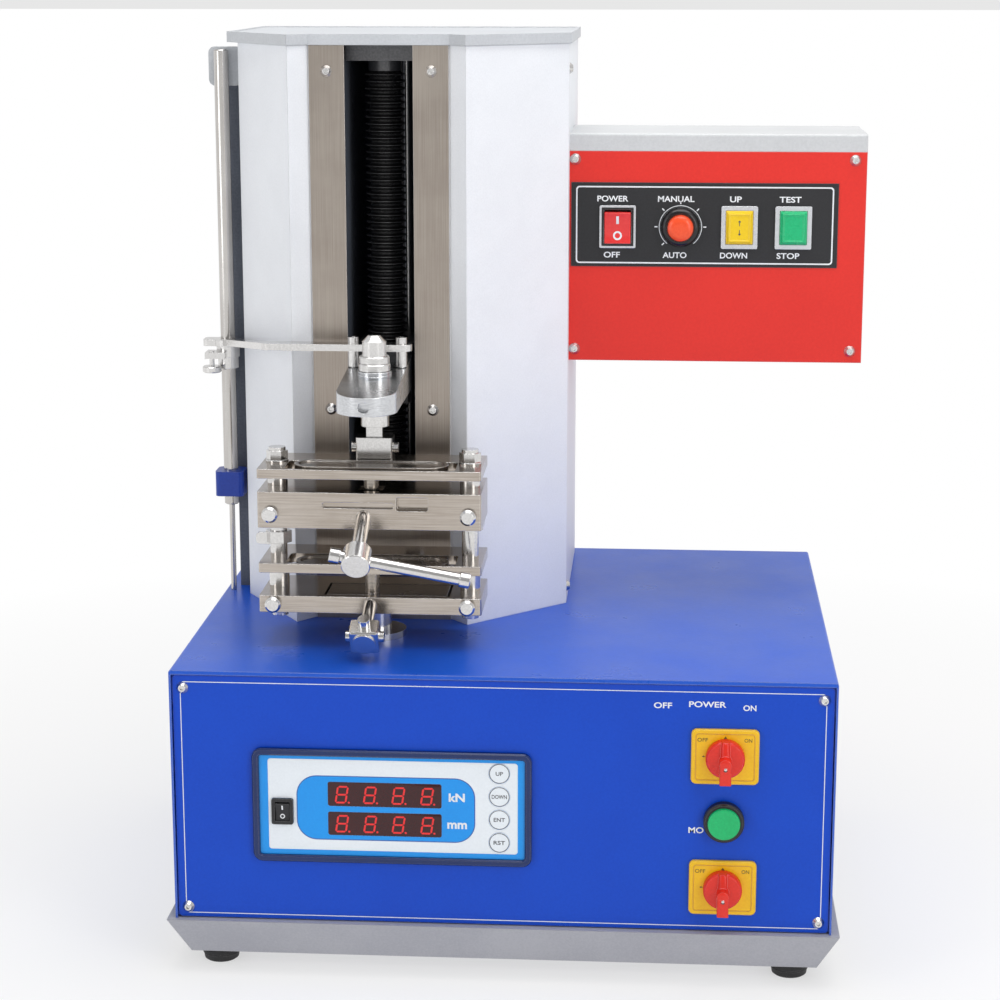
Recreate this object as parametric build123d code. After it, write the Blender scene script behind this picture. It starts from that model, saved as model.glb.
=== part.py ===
from build123d import *
import math
import os

# Bench-top strength tester: a base cabinet, a slotted column with a screw-driven crosshead,
# two screw-clamped grips between them, and a small console on the column's right side.
# Millimetres, +Z up, +Y to the back. While it is drawn, X = 0 is the middle of the cabinet,
# Y = 0 is the front of the front panel and Z = 0 is the ground. The last section moves
# everything so that the origin is the middle of the footprint.

# Fits
running_fit = 0.06
seat_fit = 0.05
sheet = 1.5

# Base cabinet
foot_height = 12
foot_radius = 14.5
foot_inset = 19
tray_height = 30
tray_lean = 15
tray_ledge = 6
tray_rim = 16
cover_width = 480
cover_depth = 390
cover_height = 190
cover_overhang = 2
cover_edge_radius = 2
hem_height = 3.3
panel_gap = 0.8
panel_thickness = 2
panel_corner = 3
corner_tab = 22
panel_screw_side = 9.5
panel_screw_top = 13.5
panel_screw_foot = 8.5

# Column
column_front = 134
column_back = 380
column_height = 438
slot_half = 25.5
trim_half = 53
corner_half = 66
facet_depth = 16
column_right = 38
right_corner_y = 205
column_left = -218
left_corner_y = 218
cap_height = 8
cap_overhang = 2
cap_left_overhang = 8
cap_rim = 3
cap_recess = 0.8
channel_depth = 345
channel_clearance = 3
trim_thickness = 1.5
slot_sill = 100
trim_screw_side = 39
trim_screw_low = 165
trim_screw_drop = 19
side_screw_inset = 9
side_screw_low = 12
window_width = 14
window_height = 8
rail_width = 12
rail_y = 243

# Screw drive
axis_x = -101
screw_y = 190
screw_radius = 8
journal_radius = 5
support_thickness = 12
support_half = 27
shaft_radius = 5
shaft_spread = 11
shaft_y = 240
collar_radius = 12.3
collar_height = 8
bellows_crest = 15.5
bellows_valley = 12
bellows_bore = 10.4
upper_ribs = 12
lower_ribs = 9
carriage_half = 21.5
carriage_bottom = 168
carriage_height = 44
carriage_back = 256
motor_size = 57
motor_length = 80
motor_drop = 40
motor_plate = 4
coupling_radius = 11

# Crosshead
load_y = 105
arm_half = 22
arm_tip_y = 35
arm_heel_y = 160
arm_bottom = 180
arm_tip_height = 13.5
arm_slope = 5.4
boss_radius = 12.6
boss_top = 202.2
stud_radius = 5
ring_radius = 11.9
ring_height = 5.6
dome_radius = 9
dome_height = 15.5
nut_radius = 10.5
nut_height = 11
neck_height = 8
shank_size = 12
shank_height = 8
yoke_width = 27
yoke_depth = 18
cross_pin_radius = 4
cross_pin_half = 17.5
nose_hole_radius = 4.2

# Guide rod at the column's left side
rod_x = -233
rod_y = 228
rod_radius = 5.75
tail_radius = 2.2
rod_foot = 72
rod_top_drop = 6
stop_bottom = 80
stop_height = 20
stop_half = 11.3
bracket_drop = 34
bracket_height = 30
bracket_left = -244
bracket_sheet = 3
bracket_back = 330
guide_arm_width = 14
guide_arm_thickness = 5
guide_arm_y = 124
guide_arm_z = 214.5
guide_arm_end = 26
guide_arm_bend_x = -182
boss_end_radius = 12
boss_z = 201
bolt_spread = 18
bush_radius = 9.3
bush_height = 18
thumb_x = -11
thumb_y = -12
thumb_radius = 7.5

# Grips
grip_width = 165
grip_front = 61
grip_depth = 62
post_spread = 72
post_y = 92
post_radius = 6.3
upper_plate_z = 128.5
upper_block_z = 91.5
upper_block_height = 27
thin_plate = 7
lower_plate_z = 57.5
lower_block_z = 27.5
lower_block_height = 12.5
grip_edge = 1
window_half = 63
window_front = 64.5
window_back = 95
pocket_half = 58.5
pocket_front = 71
pocket_back = 102
pocket_skin = 3
low_pocket_left = -136
low_pocket_right = -42.5
low_pocket_front = 67
pocket_floor = 4
jaw_half = 48
jaw_front = 76
jaw_gap = 2
low_jaw_front = 68.6
pin_y = 78
pin_radius = 5.5
pin_slot = 9
jaw_bar_half = 57
jaw_bar_front = 66
jaw_bar_back = 93.5
jaw_bar_proud = 1.5
low_bar_proud = -1
jaw_groove = 1.2
clamp_slope = 26
jaw_travel = 1.5
rocker_tilt = 8
rocker_pin = 0.12
upper_clamp_x = -105
upper_clamp_z = 99.5
lower_clamp_z = 33.7
upper_screw_radius = 5.5
lower_screw_radius = 4.6
clamp_tip = 21
lower_shoulder = 2.3
lower_neck_end = 5.3
lower_neck_radius = 2.9
lower_tip_end = 10.3
lower_tip_radius = 1.6
knuckle_radius = 10.5
knuckle_start = 37.5
knuckle_end = 55
tommy_radius = 4.5
tommy_inset = 8.5
tommy_left = 20
tommy_right = 83
tommy_cap_radius = 5.6
tommy_cap_length = 8
tommy_rest = -13
head_start = 26
head_end = 42
head_width = 21
head_height = 20
head_disc_radius = 8.5
head_pin_radius = 4
head_pin_half = 14
head_stud_radius = 4.4
head_stud_reach = 17
guide_post_top = 104
washer_radius = 8.5
washer_thickness = 1.5
nut_flats = 14
grip_nut_height = 7
front_bolt_spread = 73
front_bolt_radius = 6
front_bolt_height = 5
wiper_size = 20
wiper_thickness = 4
wing_z = 74
wing_height = 9
wing_reach = 17
stand_radius = 11
stand_flange_radius = 22
stand_flange = 5

# Controls on the front panel
meter_left = -180.7
meter_right = 22.7
meter_top = 57.3
meter_bottom = 143.3
bezel_width = 5
bezel_height = 4
bezel_corner = 7
face_thickness = 1.5
window_left = -125.7
window_right = -42.6
display_tops = (81.9, 104.9)
display_height = 17.8
window_recess = 0.6
meter_case_inset = 9
meter_case_depth = 90
mini_x = -158.9
mini_drop = 105
mini_width = 15.8
mini_height = 19.5
mini_rim = 2.4
mini_proud = 2
key_x = -0.8
key_drop = 72.8
key_pitch = 17.5
key_radius = 7.5
key_proud = 0.6
key_travel = 0.6
switch_x = 160.8
power_drop = 56.3
start_drop = 105
motor_drop_z = 155.5
cam_plate_width = 48.5
cam_plate_height = 41
cam_plate_thickness = 3
cam_body_size = 40
cam_body_depth = 48
handle_radius = 14
handle_disc = 8
handle_width = 8.4
handle_half = 15.5
handle_reach = 20
spindle_radius = 4
start_bezel_radius = 14.7
start_bezel_height = 7
start_radius = 11.7
start_proud = 10
start_travel = 4
start_barrel_radius = 11
inlet_x = 150
inlet_z = 110

# Console
console_right = 266
console_front = 222
console_depth = 100
console_drop = 245
console_height = 163
console_screw_inset = 9
console_screw_drop = 6.4
lid_height = 13.5
label_left = 39.5
label_right = 245
label_rise = 74
label_height = 65
label_thickness = 0.8
control_rise = 105
rocker_x = 75.5
selector_x = 124
jog_x = 169.4
test_x = 210.8
frame_width = 28
frame_height = 33
frame_proud = 2.5
frame_bar = 3.4
button_proud = 6
button_travel = 3
control_depth = 24
skirt_radius = 15.5
skirt_height = 7
knob_radius = 10
knob_height = 9
screw_head_radius = 4.5
screw_head_height = 2.6
screw_shank_radius = 2
screw_shank_length = 6

# Places that follow from the sizes above
cover_bottom = foot_height + tray_height
deck = cover_bottom + cover_height
half_width = cover_width / 2
console_z = deck + column_height - console_drop
control_z = console_z + control_rise
panel_top = cover_height - hem_height - panel_gap
trim_back = column_front + facet_depth
arm_rise = math.tan(math.radians(arm_slope))
clamp_out = Vector(0, -math.cos(math.radians(clamp_slope)), -math.sin(math.radians(clamp_slope)))
upper_clamp_mouth = Vector(upper_clamp_x, grip_front, deck + upper_clamp_z)
lower_clamp_mouth = Vector(axis_x, grip_front, deck + lower_clamp_z)
knuckle_centre = upper_clamp_mouth + clamp_out * (knuckle_end - tommy_inset)
tommy_angle = math.radians(tommy_rest)
clamp_up = Vector(0, clamp_out.Z, -clamp_out.Y)
tommy_way = Vector(math.cos(tommy_angle), 0, 0) + clamp_up * math.sin(tommy_angle)


def block(x, y, z):
    """A box between the two ends given for each axis."""
    middle = [(low + high) / 2 for low, high in (x, y, z)]
    return Pos(*middle) * Box(x[1] - x[0], y[1] - y[0], z[1] - z[0])


def post(x, y, z, radius):
    """An upright cylinder between two heights."""
    return Pos(x, y, (z[0] + z[1]) / 2) * Cylinder(radius, z[1] - z[0])


def shaft(start, way, reach, radius):
    """A cylinder on the line from start along way, between two distances."""
    seat = Plane(origin=start + way * reach[0], z_dir=way)
    return seat * Cylinder(radius, reach[1] - reach[0], align=(Align.CENTER, Align.CENTER, Align.MIN))


def front_plate(x, y, z, corner):
    """A plate that faces the front, with rounded corners."""
    return fillet(block(x, y, z).edges().filter_by(Axis.Y), corner)


def button_head(place, way, shank=screw_shank_length):
    """A button-head screw whose head stands on place and looks along way."""
    seat = Plane(origin=place, z_dir=way)
    head = Cone(screw_head_radius, screw_head_radius * 0.55, screw_head_height,
                align=(Align.CENTER, Align.CENTER, Align.MIN))
    socket = Pos(0, 0, screw_head_height) * extrude(RegularPolygon(1.6, 6), -1.4)
    body = Cylinder(screw_shank_radius, shank, align=(Align.CENTER, Align.CENTER, Align.MAX))
    return seat * (head - socket + body)


def hex_nut(x, y, z, flats):
    """A hexagon nut or head between two heights."""
    return Pos(x, y, z[0]) * extrude(RegularPolygon(flats / math.sqrt(3), 6), z[1] - z[0])


def column_line():
    """The outer fold line of the column in plan, from the slot's left lip round to its right lip."""
    lip = slot_half + channel_clearance
    return [
        (axis_x - lip, trim_back),
        (axis_x - trim_half, trim_back),
        (axis_x - corner_half, column_front),
        (column_left, left_corner_y),
        (column_left, column_back),
        (column_right, column_back),
        (column_right, right_corner_y),
        (axis_x + corner_half, column_front),
        (axis_x + trim_half, trim_back),
        (axis_x + lip, trim_back),
    ]


# Base

def base_tray():
    bottom_width = cover_width + 2 * tray_ledge - 2 * tray_lean
    bottom_depth = cover_depth + 2 * tray_ledge - 2 * tray_lean
    lean = math.degrees(math.atan(tray_lean / tray_height))
    middle = Pos(0, cover_depth / 2, 0)
    outside = middle * Pos(0, 0, foot_height) * extrude(
        Rectangle(bottom_width, bottom_depth), tray_height, taper=-lean)
    inner_width = bottom_width - 2 * sheet
    inner_depth = bottom_depth - 2 * sheet
    inside = middle * Pos(0, 0, foot_height + sheet) * extrude(
        Rectangle(inner_width, inner_depth), tray_height - 2 * sheet, taper=-lean)
    mouth = middle * Pos(0, 0, cover_bottom) * Box(
        cover_width - 2 * tray_rim, cover_depth - 2 * tray_rim, 4 * sheet)
    return outside - inside - mouth


def rubber_feet():
    spot_x = half_width + tray_ledge - tray_lean - foot_inset
    front_y = tray_lean - tray_ledge + foot_inset
    back_y = cover_depth - front_y
    foot = Cone(foot_radius * 0.88, foot_radius, foot_height)
    foot = foot - Pos(0, 0, -foot_height / 2) * Cylinder(foot_radius * 0.42, foot_height * 0.6)
    return [Pos(x, y, foot_height / 2) * foot for x in (-spot_x, spot_x) for y in (front_y, back_y)]


def cabinet_cover():
    front = -cover_overhang
    shell = block((-half_width, half_width), (front, cover_depth), (cover_bottom, deck))
    upright = shell.edges().filter_by(Axis.Y).group_by(Axis.Z)[-1]
    shell = fillet(upright, cover_edge_radius)
    inner = half_width - sheet
    hollow = block((-inner, inner), (front - 1, cover_depth + 1), (cover_bottom - 1, deck - sheet))
    shell = shell - hollow
    for y in ((front, front + 4 * sheet), (cover_depth - 4 * sheet, cover_depth)):
        shell = shell + block((-inner, inner), y, (deck - hem_height, deck - sheet))
    for side in (-1, 1):
        x = sorted((side * inner, side * (inner - corner_tab)))
        for low in (cover_bottom + panel_gap, deck - hem_height - corner_tab):
            z = (low, low + corner_tab)
            shell = shell + block(x, (panel_thickness, panel_thickness + sheet), z)
            back_y = cover_depth - panel_thickness
            shell = shell + block(x, (back_y - sheet, back_y), z)
    shell = shell - post(axis_x, screw_y, (deck - 4 * sheet, deck + 1), screw_radius + 4)
    return with_screw_holes(shell, panel_screw_places()[:4])


def front_panel():
    reach = half_width - sheet - panel_gap
    z = (cover_bottom + panel_gap, cover_bottom + panel_top)
    panel = front_plate((-reach, reach), (0, panel_thickness), z, panel_corner)
    inset = meter_case_inset - seat_fit
    panel = panel - block((meter_left + inset, meter_right - inset), (-1, panel_thickness + 1),
                          (deck - meter_bottom + inset, deck - meter_top - inset))
    for drop in (power_drop, motor_drop_z):
        centre = Vector(switch_x, -1, deck - drop)
        panel = panel - shaft(centre, Vector(0, 1, 0), (0, panel_thickness + 2), spindle_radius + 4)
    panel = panel - shaft(Vector(switch_x, -1, deck - start_drop), Vector(0, 1, 0),
                          (0, panel_thickness + 2), start_barrel_radius + seat_fit)
    return with_screw_holes(panel, panel_screw_places()[:4])


def back_panel():
    reach = half_width - sheet - panel_gap
    y = (cover_depth - panel_thickness, cover_depth)
    z = (cover_bottom + panel_gap, cover_bottom + panel_top)
    panel = front_plate((-reach, reach), y, z, panel_corner)
    vent_pitch = 9
    for number in range(12):
        x = -150 + number * vent_pitch
        slot = block((x - 2, x + 2), (y[0] - 1, y[1] + 1), (deck - 120, deck - 60))
        panel = panel - slot
    inlet = block((inlet_x - 14, inlet_x + 14), (y[0] - 1, y[1] + 1), (inlet_z - 10, inlet_z + 10))
    return panel - inlet


def panel_screw_places():
    """The front panel's four screws, the console's four, the slot trim's four and the column side's two."""
    forward = Vector(0, -1, 0)
    places = []
    for side in (-1, 1):
        for z in (deck - panel_screw_top, cover_bottom + panel_screw_foot):
            places.append((Vector(side * (half_width - panel_screw_side), 0, z), forward))
    for x in (column_right + console_screw_inset / 2, console_right - console_screw_inset):
        for z in (console_z + console_screw_inset, console_z + console_height - console_screw_drop):
            places.append((Vector(x, console_front, z), forward))
    top = deck + column_height - trim_screw_drop
    for side in (-1, 1):
        for z in (deck + trim_screw_low, top):
            places.append((Vector(axis_x + side * trim_screw_side, trim_back - trim_thickness, z), forward))
    for z in (deck + side_screw_low, top):
        places.append((Vector(column_right, right_corner_y + side_screw_inset, z), Vector(1, 0, 0)))
    return places


def button_head_screws():
    return [button_head(place, way) for place, way in panel_screw_places()]


def with_screw_holes(body, places):
    """The body with a pilot hole behind each of the given button heads."""
    for place, way in places:
        body = body - shaft(place, way, (-screw_shank_length - 1, 1), screw_shank_radius + seat_fit)
    return body


# Column

def column_shell():
    outside = Polyline(*column_line())
    wall = make_face(offset(outside, amount=sheet, side=Side.RIGHT, kind=Kind.INTERSECTION))
    return with_screw_holes(Pos(0, 0, deck) * extrude(wall, column_height), panel_screw_places()[8:])


def column_cap():
    outline = column_line()[1:-1]
    grown = []
    for x, y in outline:
        left = cap_left_overhang if x == column_left else 0
        right = cap_overhang if x == column_right else 0
        front = cap_overhang if y < column_back else 0
        back = cap_overhang if y == column_back else 0
        grown.append((x - left + right, y - front + back))
    plan = make_face(Polyline(*grown, close=True))
    cap = Pos(0, 0, deck + column_height) * extrude(plan, cap_height)
    inset = make_face(offset(Polyline(*grown, close=True), amount=-cap_rim, kind=Kind.INTERSECTION))
    return cap - Pos(0, 0, deck + column_height + cap_height - cap_recess) * extrude(inset, 2 * cap_recess)


def slot_trim():
    y = (trim_back - trim_thickness, trim_back)
    trim = block((axis_x - trim_half + 1, axis_x + trim_half - 1), y, (deck, deck + column_height))
    trim = trim - block((axis_x - slot_half, axis_x + slot_half), (y[0] - 1, y[1] + 1),
                        (deck + slot_sill, deck + column_height + 1))
    window = block((axis_x + 17, axis_x + 17 + window_width), (y[0] - 1, y[1] + 1),
                   (deck + 75, deck + 75 + window_height))
    return with_screw_holes(trim - window, panel_screw_places()[8:12])


def column_frame():
    inner = slot_half + channel_clearance
    front = trim_back + sheet
    outer_box = block((axis_x - inner - sheet, axis_x + inner + sheet), (front, channel_depth + sheet),
                      (deck, deck + column_height))
    hollow = block((axis_x - inner, axis_x + inner), (front - 1, channel_depth),
                   (deck - 1, deck + column_height + 1))
    rail = block((column_left - rail_width, column_left), (rail_y, rail_y + rail_width),
                 (deck, deck + column_height - bracket_drop))
    return [outer_box - hollow, rail]


# Screw drive

def screw_supports():
    x = (axis_x - support_half, axis_x + support_half)
    y = (screw_y - 22, shaft_y + 22)
    supports = []
    for low in (0, column_height - support_thickness):
        plate = block(x, y, (deck + low, deck + low + support_thickness))
        bore = post(axis_x, screw_y, (deck + low - 1, deck + low + support_thickness + 1),
                    journal_radius + running_fit)
        supports.append(plate - bore)
    top = deck + column_height - support_thickness
    collar = post(axis_x, screw_y, (top - collar_height, top), collar_radius)
    collar = collar - post(axis_x, screw_y, (top - collar_height - 1, top + 1), screw_radius + 1)
    return supports + [collar]


def bellows(z, ribs):
    pitch = (z[1] - z[0]) / ribs
    outline = [(bellows_bore, z[0])]
    for number in range(ribs):
        base = z[0] + number * pitch
        outline += [(bellows_valley, base), (bellows_crest, base + pitch / 2)]
    outline += [(bellows_valley, z[1]), (bellows_bore, z[1])]
    profile = make_face(Plane.XZ * Polyline(*outline, close=True))
    return Pos(axis_x, screw_y, 0) * revolve(profile, Axis.Z)


def upper_bellows():
    top = deck + column_height - support_thickness - collar_height
    return bellows((deck + carriage_bottom + carriage_height, top), upper_ribs)


def lower_bellows():
    return bellows((deck + support_thickness, deck + carriage_bottom), lower_ribs)


def guide_shafts():
    z = (deck + support_thickness, deck + column_height - support_thickness)
    return [post(axis_x + side * shaft_spread, shaft_y, z, shaft_radius) for side in (-1, 1)]


def carriage():
    z = (deck + carriage_bottom, deck + carriage_bottom + carriage_height)
    body = block((axis_x - carriage_half, axis_x + carriage_half), (arm_heel_y, carriage_back), z)
    body = chamfer(body.edges().filter_by(Axis.Z), 3)
    tall = (z[0] - 1, z[1] + 1)
    body = body - post(axis_x, screw_y, tall, screw_radius + running_fit)
    for side in (-1, 1):
        body = body - post(axis_x + side * shaft_spread, shaft_y, tall, shaft_radius + running_fit)
    return body


def ball_screw():
    bottom = deck + support_thickness
    top = deck + column_height - support_thickness
    screw = post(axis_x, screw_y, (bottom, top), screw_radius)
    screw = screw + post(axis_x, screw_y, (deck - motor_drop / 2, deck + column_height - 1), journal_radius)
    coupling_top = deck - sheet - motor_plate - 4
    coupling = post(axis_x, screw_y, (deck - motor_drop + 4, coupling_top), coupling_radius)
    coupling = coupling - post(axis_x, screw_y, (deck - motor_drop / 2, deck), journal_radius + seat_fit)
    stub = post(axis_x, screw_y, (deck - motor_drop - 12, deck - motor_drop + 4), journal_radius - 1)
    return [screw, coupling + stub]


def drive_motor():
    top = deck - sheet
    half = motor_size / 2
    plate = block((axis_x - half - 12, axis_x + half + 12), (screw_y - half - 12, screw_y + half + 12),
                  (top - motor_plate, top))
    plate = plate - post(axis_x, screw_y, (top - motor_plate - 1, top + 1), screw_radius + 4)
    motor_top = deck - motor_drop
    for x in (-1, 1):
        for y in (-1, 1):
            plate = plate + post(axis_x + x * (half - 6), screw_y + y * (half - 6),
                                 (motor_top, top - motor_plate), 4)
    body = block((axis_x - half, axis_x + half), (screw_y - half, screw_y + half),
                 (motor_top - motor_length, motor_top))
    body = chamfer(body.edges().filter_by(Axis.Z), 5)
    body = body - post(axis_x, screw_y, (motor_top - 14, motor_top + 1), journal_radius - 1 + running_fit)
    return [plate, body]


# Guide rod

def rod_bracket():
    low = deck + column_height - bracket_drop
    z = (low, low + bracket_height)
    back = (rod_y + rod_radius, rod_y + rod_radius + bracket_sheet)
    plate = front_plate((bracket_left, column_left), back, z, 5)
    side = block((column_left - bracket_sheet, column_left), (back[0], bracket_back), z)
    return plate + side


def guide_rod():
    rod = post(rod_x, rod_y, (deck + rod_foot, deck + column_height - rod_top_drop), rod_radius)
    rod = chamfer(rod.edges().filter_by(GeomType.CIRCLE), 0.8)
    return rod + post(rod_x, rod_y, (deck, deck + rod_foot), tail_radius)


def stop_collar():
    z = (deck + stop_bottom, deck + stop_bottom + stop_height)
    body = block((rod_x - stop_half, rod_x + stop_half), (rod_y - stop_half, rod_y + stop_half), z)
    body = fillet(body.edges().filter_by(Axis.Z), 4)
    return body - post(rod_x, rod_y, (z[0] - 1, z[1] + 1), rod_radius + seat_fit)


def guide_arm():
    z = (deck + guide_arm_z, deck + guide_arm_z + guide_arm_thickness)
    half = guide_arm_width / 2
    bar = block((guide_arm_bend_x, axis_x + guide_arm_end), (guide_arm_y - half, guide_arm_y + half), z)
    bar = fillet(bar.edges().filter_by(Axis.Z).group_by(Axis.X)[-1], half - 0.5)
    boss = post(rod_x, rod_y, (deck + boss_z, deck + boss_z + guide_arm_thickness), boss_end_radius)
    tab = block((rod_x - boss_end_radius - 7, rod_x), (rod_y - 8, rod_y + 8),
                (deck + boss_z, deck + boss_z + guide_arm_thickness))
    tab = fillet(tab.edges().filter_by(Axis.Z).group_by(Axis.X)[0], 4)
    middle = guide_arm_thickness / 2
    start = Vector(rod_x, rod_y, deck + boss_z + middle)
    end = Vector(guide_arm_bend_x, guide_arm_y, deck + guide_arm_z + middle)
    along = end - start
    across = Vector(-along.Y, along.X, 0)
    seat = Plane(origin=(start + end) * 0.5, x_dir=along, z_dir=along.cross(across) * -1)
    leg = seat * Box(along.length, guide_arm_width, guide_arm_thickness)
    elbow = post(guide_arm_bend_x, guide_arm_y, z, half)
    arm = bar + elbow + leg + boss + tab
    arm = arm - post(rod_x, rod_y, (deck + boss_z - 9, deck + boss_z + 19), rod_radius + running_fit)
    for side in (-1, 1):
        arm = arm - post(axis_x + side * bolt_spread, guide_arm_y, (z[0] - 1, z[1] + 1), 2.5 + seat_fit)
    top = deck + boss_z
    bush = post(rod_x, rod_y, (top - bush_height / 2, top), bush_radius)
    bush = bush + post(rod_x, rod_y, (top - bush_height, top - bush_height / 2), bush_radius - 1)
    lug = block((rod_x + thumb_x - 5, rod_x), (rod_y + thumb_y - 4, rod_y), (top - 9, top - 4))
    bush = bush + lug - post(rod_x, rod_y, (top - bush_height - 1, top + 1), rod_radius + running_fit)
    bush = bush - post(rod_x + thumb_x, rod_y + thumb_y, (top - 10, top - 3), 2 + running_fit)
    return [arm, bush]


def thumb_screw():
    top = deck + boss_z - 3
    x = rod_x + thumb_x
    y = rod_y + thumb_y
    head = post(x, y, (top - 17, top - 12), thumb_radius)
    head = chamfer(head.edges().filter_by(GeomType.CIRCLE), 0.8)
    return head + post(x, y, (top - 12, top), 2)


# Crosshead

def arm_top(y):
    """Height of the crosshead arm's sloping top above the deck at a distance back from its tip."""
    return arm_bottom + arm_tip_height + (y - arm_tip_y) * arm_rise


def crosshead_arm():
    nose = Pos(axis_x, arm_tip_y + arm_half, 0) * Circle(arm_half)
    body = Pos(axis_x, (arm_tip_y + arm_half + arm_heel_y) / 2, 0) * Rectangle(
        2 * arm_half, arm_heel_y - arm_tip_y - arm_half)
    plan = Pos(0, 0, deck + arm_bottom) * extrude(nose + body, 60)
    side = make_face(Plane.YZ * Polyline(
        (arm_tip_y - 1, deck + arm_bottom - 1),
        (arm_heel_y + 1, deck + arm_bottom - 1),
        (arm_heel_y + 1, deck + arm_top(arm_heel_y + 1)),
        (arm_tip_y - 1, deck + arm_top(arm_tip_y - 1)),
        close=True))
    arm = plan & (Pos(axis_x - arm_half - 1, 0, 0) * extrude(side, 2 * arm_half + 2))
    arm = arm + post(axis_x, load_y, (deck + arm_bottom + 5, deck + boss_top), boss_radius)
    arm = arm - post(axis_x, load_y, (deck + arm_bottom - 1, deck + boss_top + 1), stud_radius + seat_fit)
    for side_sign in (-1, 1):
        top = deck + arm_top(guide_arm_y) + 3
        arm = arm - post(axis_x + side_sign * bolt_spread, guide_arm_y, (top - 13, top), 2.5 + seat_fit)
    recess = shaft(Vector(axis_x, arm_tip_y - 1, deck + arm_bottom + arm_tip_height / 2), Vector(0, 1, 0),
                   (0, 8), nose_hole_radius)
    return arm - recess


def cap_nut():
    rings = []
    for number in range(2):
        low = deck + boss_top + number * ring_height
        ring = post(axis_x, load_y, (low, low + ring_height), ring_radius - 0.5 * number)
        ring = chamfer(ring.edges().filter_by(GeomType.CIRCLE), 0.6)
        rings.append(ring - post(axis_x, load_y, (low - 1, low + ring_height + 1), stud_radius + seat_fit))
    low = deck + boss_top + 2 * ring_height
    dome = post(axis_x, load_y, (low, low + dome_height), dome_radius)
    dome = chamfer(dome.edges().filter_by(GeomType.CIRCLE).group_by(Axis.Z)[-1], dome_radius * 0.5)
    dome = dome - post(axis_x, load_y, (low - 1, low + 9), stud_radius + seat_fit)
    return rings + [dome]


def yoke_base():
    return deck + upper_plate_z + thin_plate


def load_shank():
    low = yoke_base()
    yoke_top = deck + arm_bottom - nut_height - neck_height - shank_height
    half = yoke_width / 2
    yoke = block((axis_x - half, axis_x + half), (load_y - yoke_depth / 2, load_y + yoke_depth / 2),
                 (low, yoke_top))
    yoke = chamfer(yoke.edges().filter_by(Axis.Z), 1)
    square = block((axis_x - shank_size / 2, axis_x + shank_size / 2),
                   (load_y - shank_size / 2, load_y + shank_size / 2), (yoke_top, yoke_top + shank_height))
    stud = post(axis_x, load_y, (yoke_top + shank_height, deck + boss_top + 2 * ring_height + 8), stud_radius)
    pin_hole = shaft(Vector(axis_x - half - 1, load_y, low + 9), Vector(1, 0, 0), (0, yoke_width + 2),
                     cross_pin_radius + seat_fit)
    return yoke + square + stud - pin_hole


def crosshead_fasteners():
    pieces = []
    top = deck + arm_bottom
    nut_z = (top - nut_height - neck_height, top)
    nut = post(axis_x, load_y, (nut_z[0], nut_z[0] + nut_height), nut_radius)
    nut = nut + post(axis_x, load_y, (nut_z[0] + nut_height, nut_z[1]), nut_radius - 2)
    pieces.append(nut - post(axis_x, load_y, (nut_z[0] - 1, nut_z[1] + 1), stud_radius + seat_fit))
    pin = shaft(Vector(axis_x, load_y, yoke_base() + 9), Vector(1, 0, 0), (-cross_pin_half, cross_pin_half),
                cross_pin_radius)
    pieces.append(pin)
    plate_z = deck + guide_arm_z
    for side in (-1, 1):
        x = axis_x + side * bolt_spread
        seat = deck + arm_top(guide_arm_y) + arm_rise * 4.5
        spacer = post(x, guide_arm_y, (seat, plate_z), 4.2)
        pieces.append(spacer - post(x, guide_arm_y, (seat - 1, plate_z + 1), 2.5 + seat_fit))
        head_z = plate_z + guide_arm_thickness
        head = post(x, guide_arm_y, (head_z, head_z + 5), 4.2)
        head = head - Pos(x, guide_arm_y, head_z + 5) * extrude(RegularPolygon(2, 6), -2.5)
        pieces.append(head + post(x, guide_arm_y, (seat - 9, head_z), 2.5))
    return pieces


# Grips

def grip_plate(low, height):
    x = (axis_x - grip_width / 2, axis_x + grip_width / 2)
    plate = block(x, (grip_front, grip_front + grip_depth), (low, low + height))
    return chamfer(plate.edges().filter_by(Axis.Z), grip_edge)


def post_holes(z, clearance):
    return [post(axis_x + side * post_spread, post_y, z, post_radius + clearance) for side in (-1, 1)]


def thin_grip_plate(low):
    plate = grip_plate(low, thin_plate)
    window = block((axis_x - window_half, axis_x + window_half), (window_front, window_back),
                   (low - 1, low + thin_plate + 1))
    window = fillet(window.edges().filter_by(Axis.Z), 4)
    plate = plate - window
    for hole in post_holes((low - 1, low + thin_plate + 1), seat_fit):
        plate = plate - hole
    return plate


def upper_grip_plate():
    return thin_grip_plate(deck + upper_plate_z)


def lower_grip_plate():
    return thin_grip_plate(deck + lower_plate_z)


def upper_grip_block():
    low = deck + upper_block_z
    high = low + upper_block_height
    body = grip_plate(low, upper_block_height)
    body = body - block((axis_x - pocket_half, axis_x + pocket_half), (pocket_front, pocket_back),
                        (low - 1, high - pocket_skin))
    pin_window = extrude(Rectangle(2 * pin_slot, 2 * pin_slot), 6)
    body = body - Pos(axis_x, pin_y, high - pocket_skin - 1) * pin_window
    for hole in post_holes((low - 1, deck + guide_post_top + 5.5), running_fit):
        body = body - hole
    for hole in post_holes((high - 8, high + 1), seat_fit):
        body = body - hole
    body = body - shaft(upper_clamp_mouth, clamp_out, (-14, 5), upper_screw_radius + running_fit)
    slot_z = (low + 15.5, low + 20)
    groove = block((axis_x - 34.5, axis_x + 18.5), (grip_front - 1, grip_front + 3), slot_z)
    body = body - fillet(groove.edges().filter_by(Axis.Y), 2.2)
    recess = block((axis_x + 20, axis_x + 43.5), (grip_front - 1, grip_front + 7), (low + 14, low + 24.3))
    body = body - fillet(recess.edges().filter_by(Axis.Y), 2)
    for side in (-1, 1):
        place = Vector(axis_x + side * front_bolt_spread, grip_front + 9, deck + 102)
        body = body - shaft(place, Vector(0, -1, 0), (0, 12), 3 + seat_fit)
    return body


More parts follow.
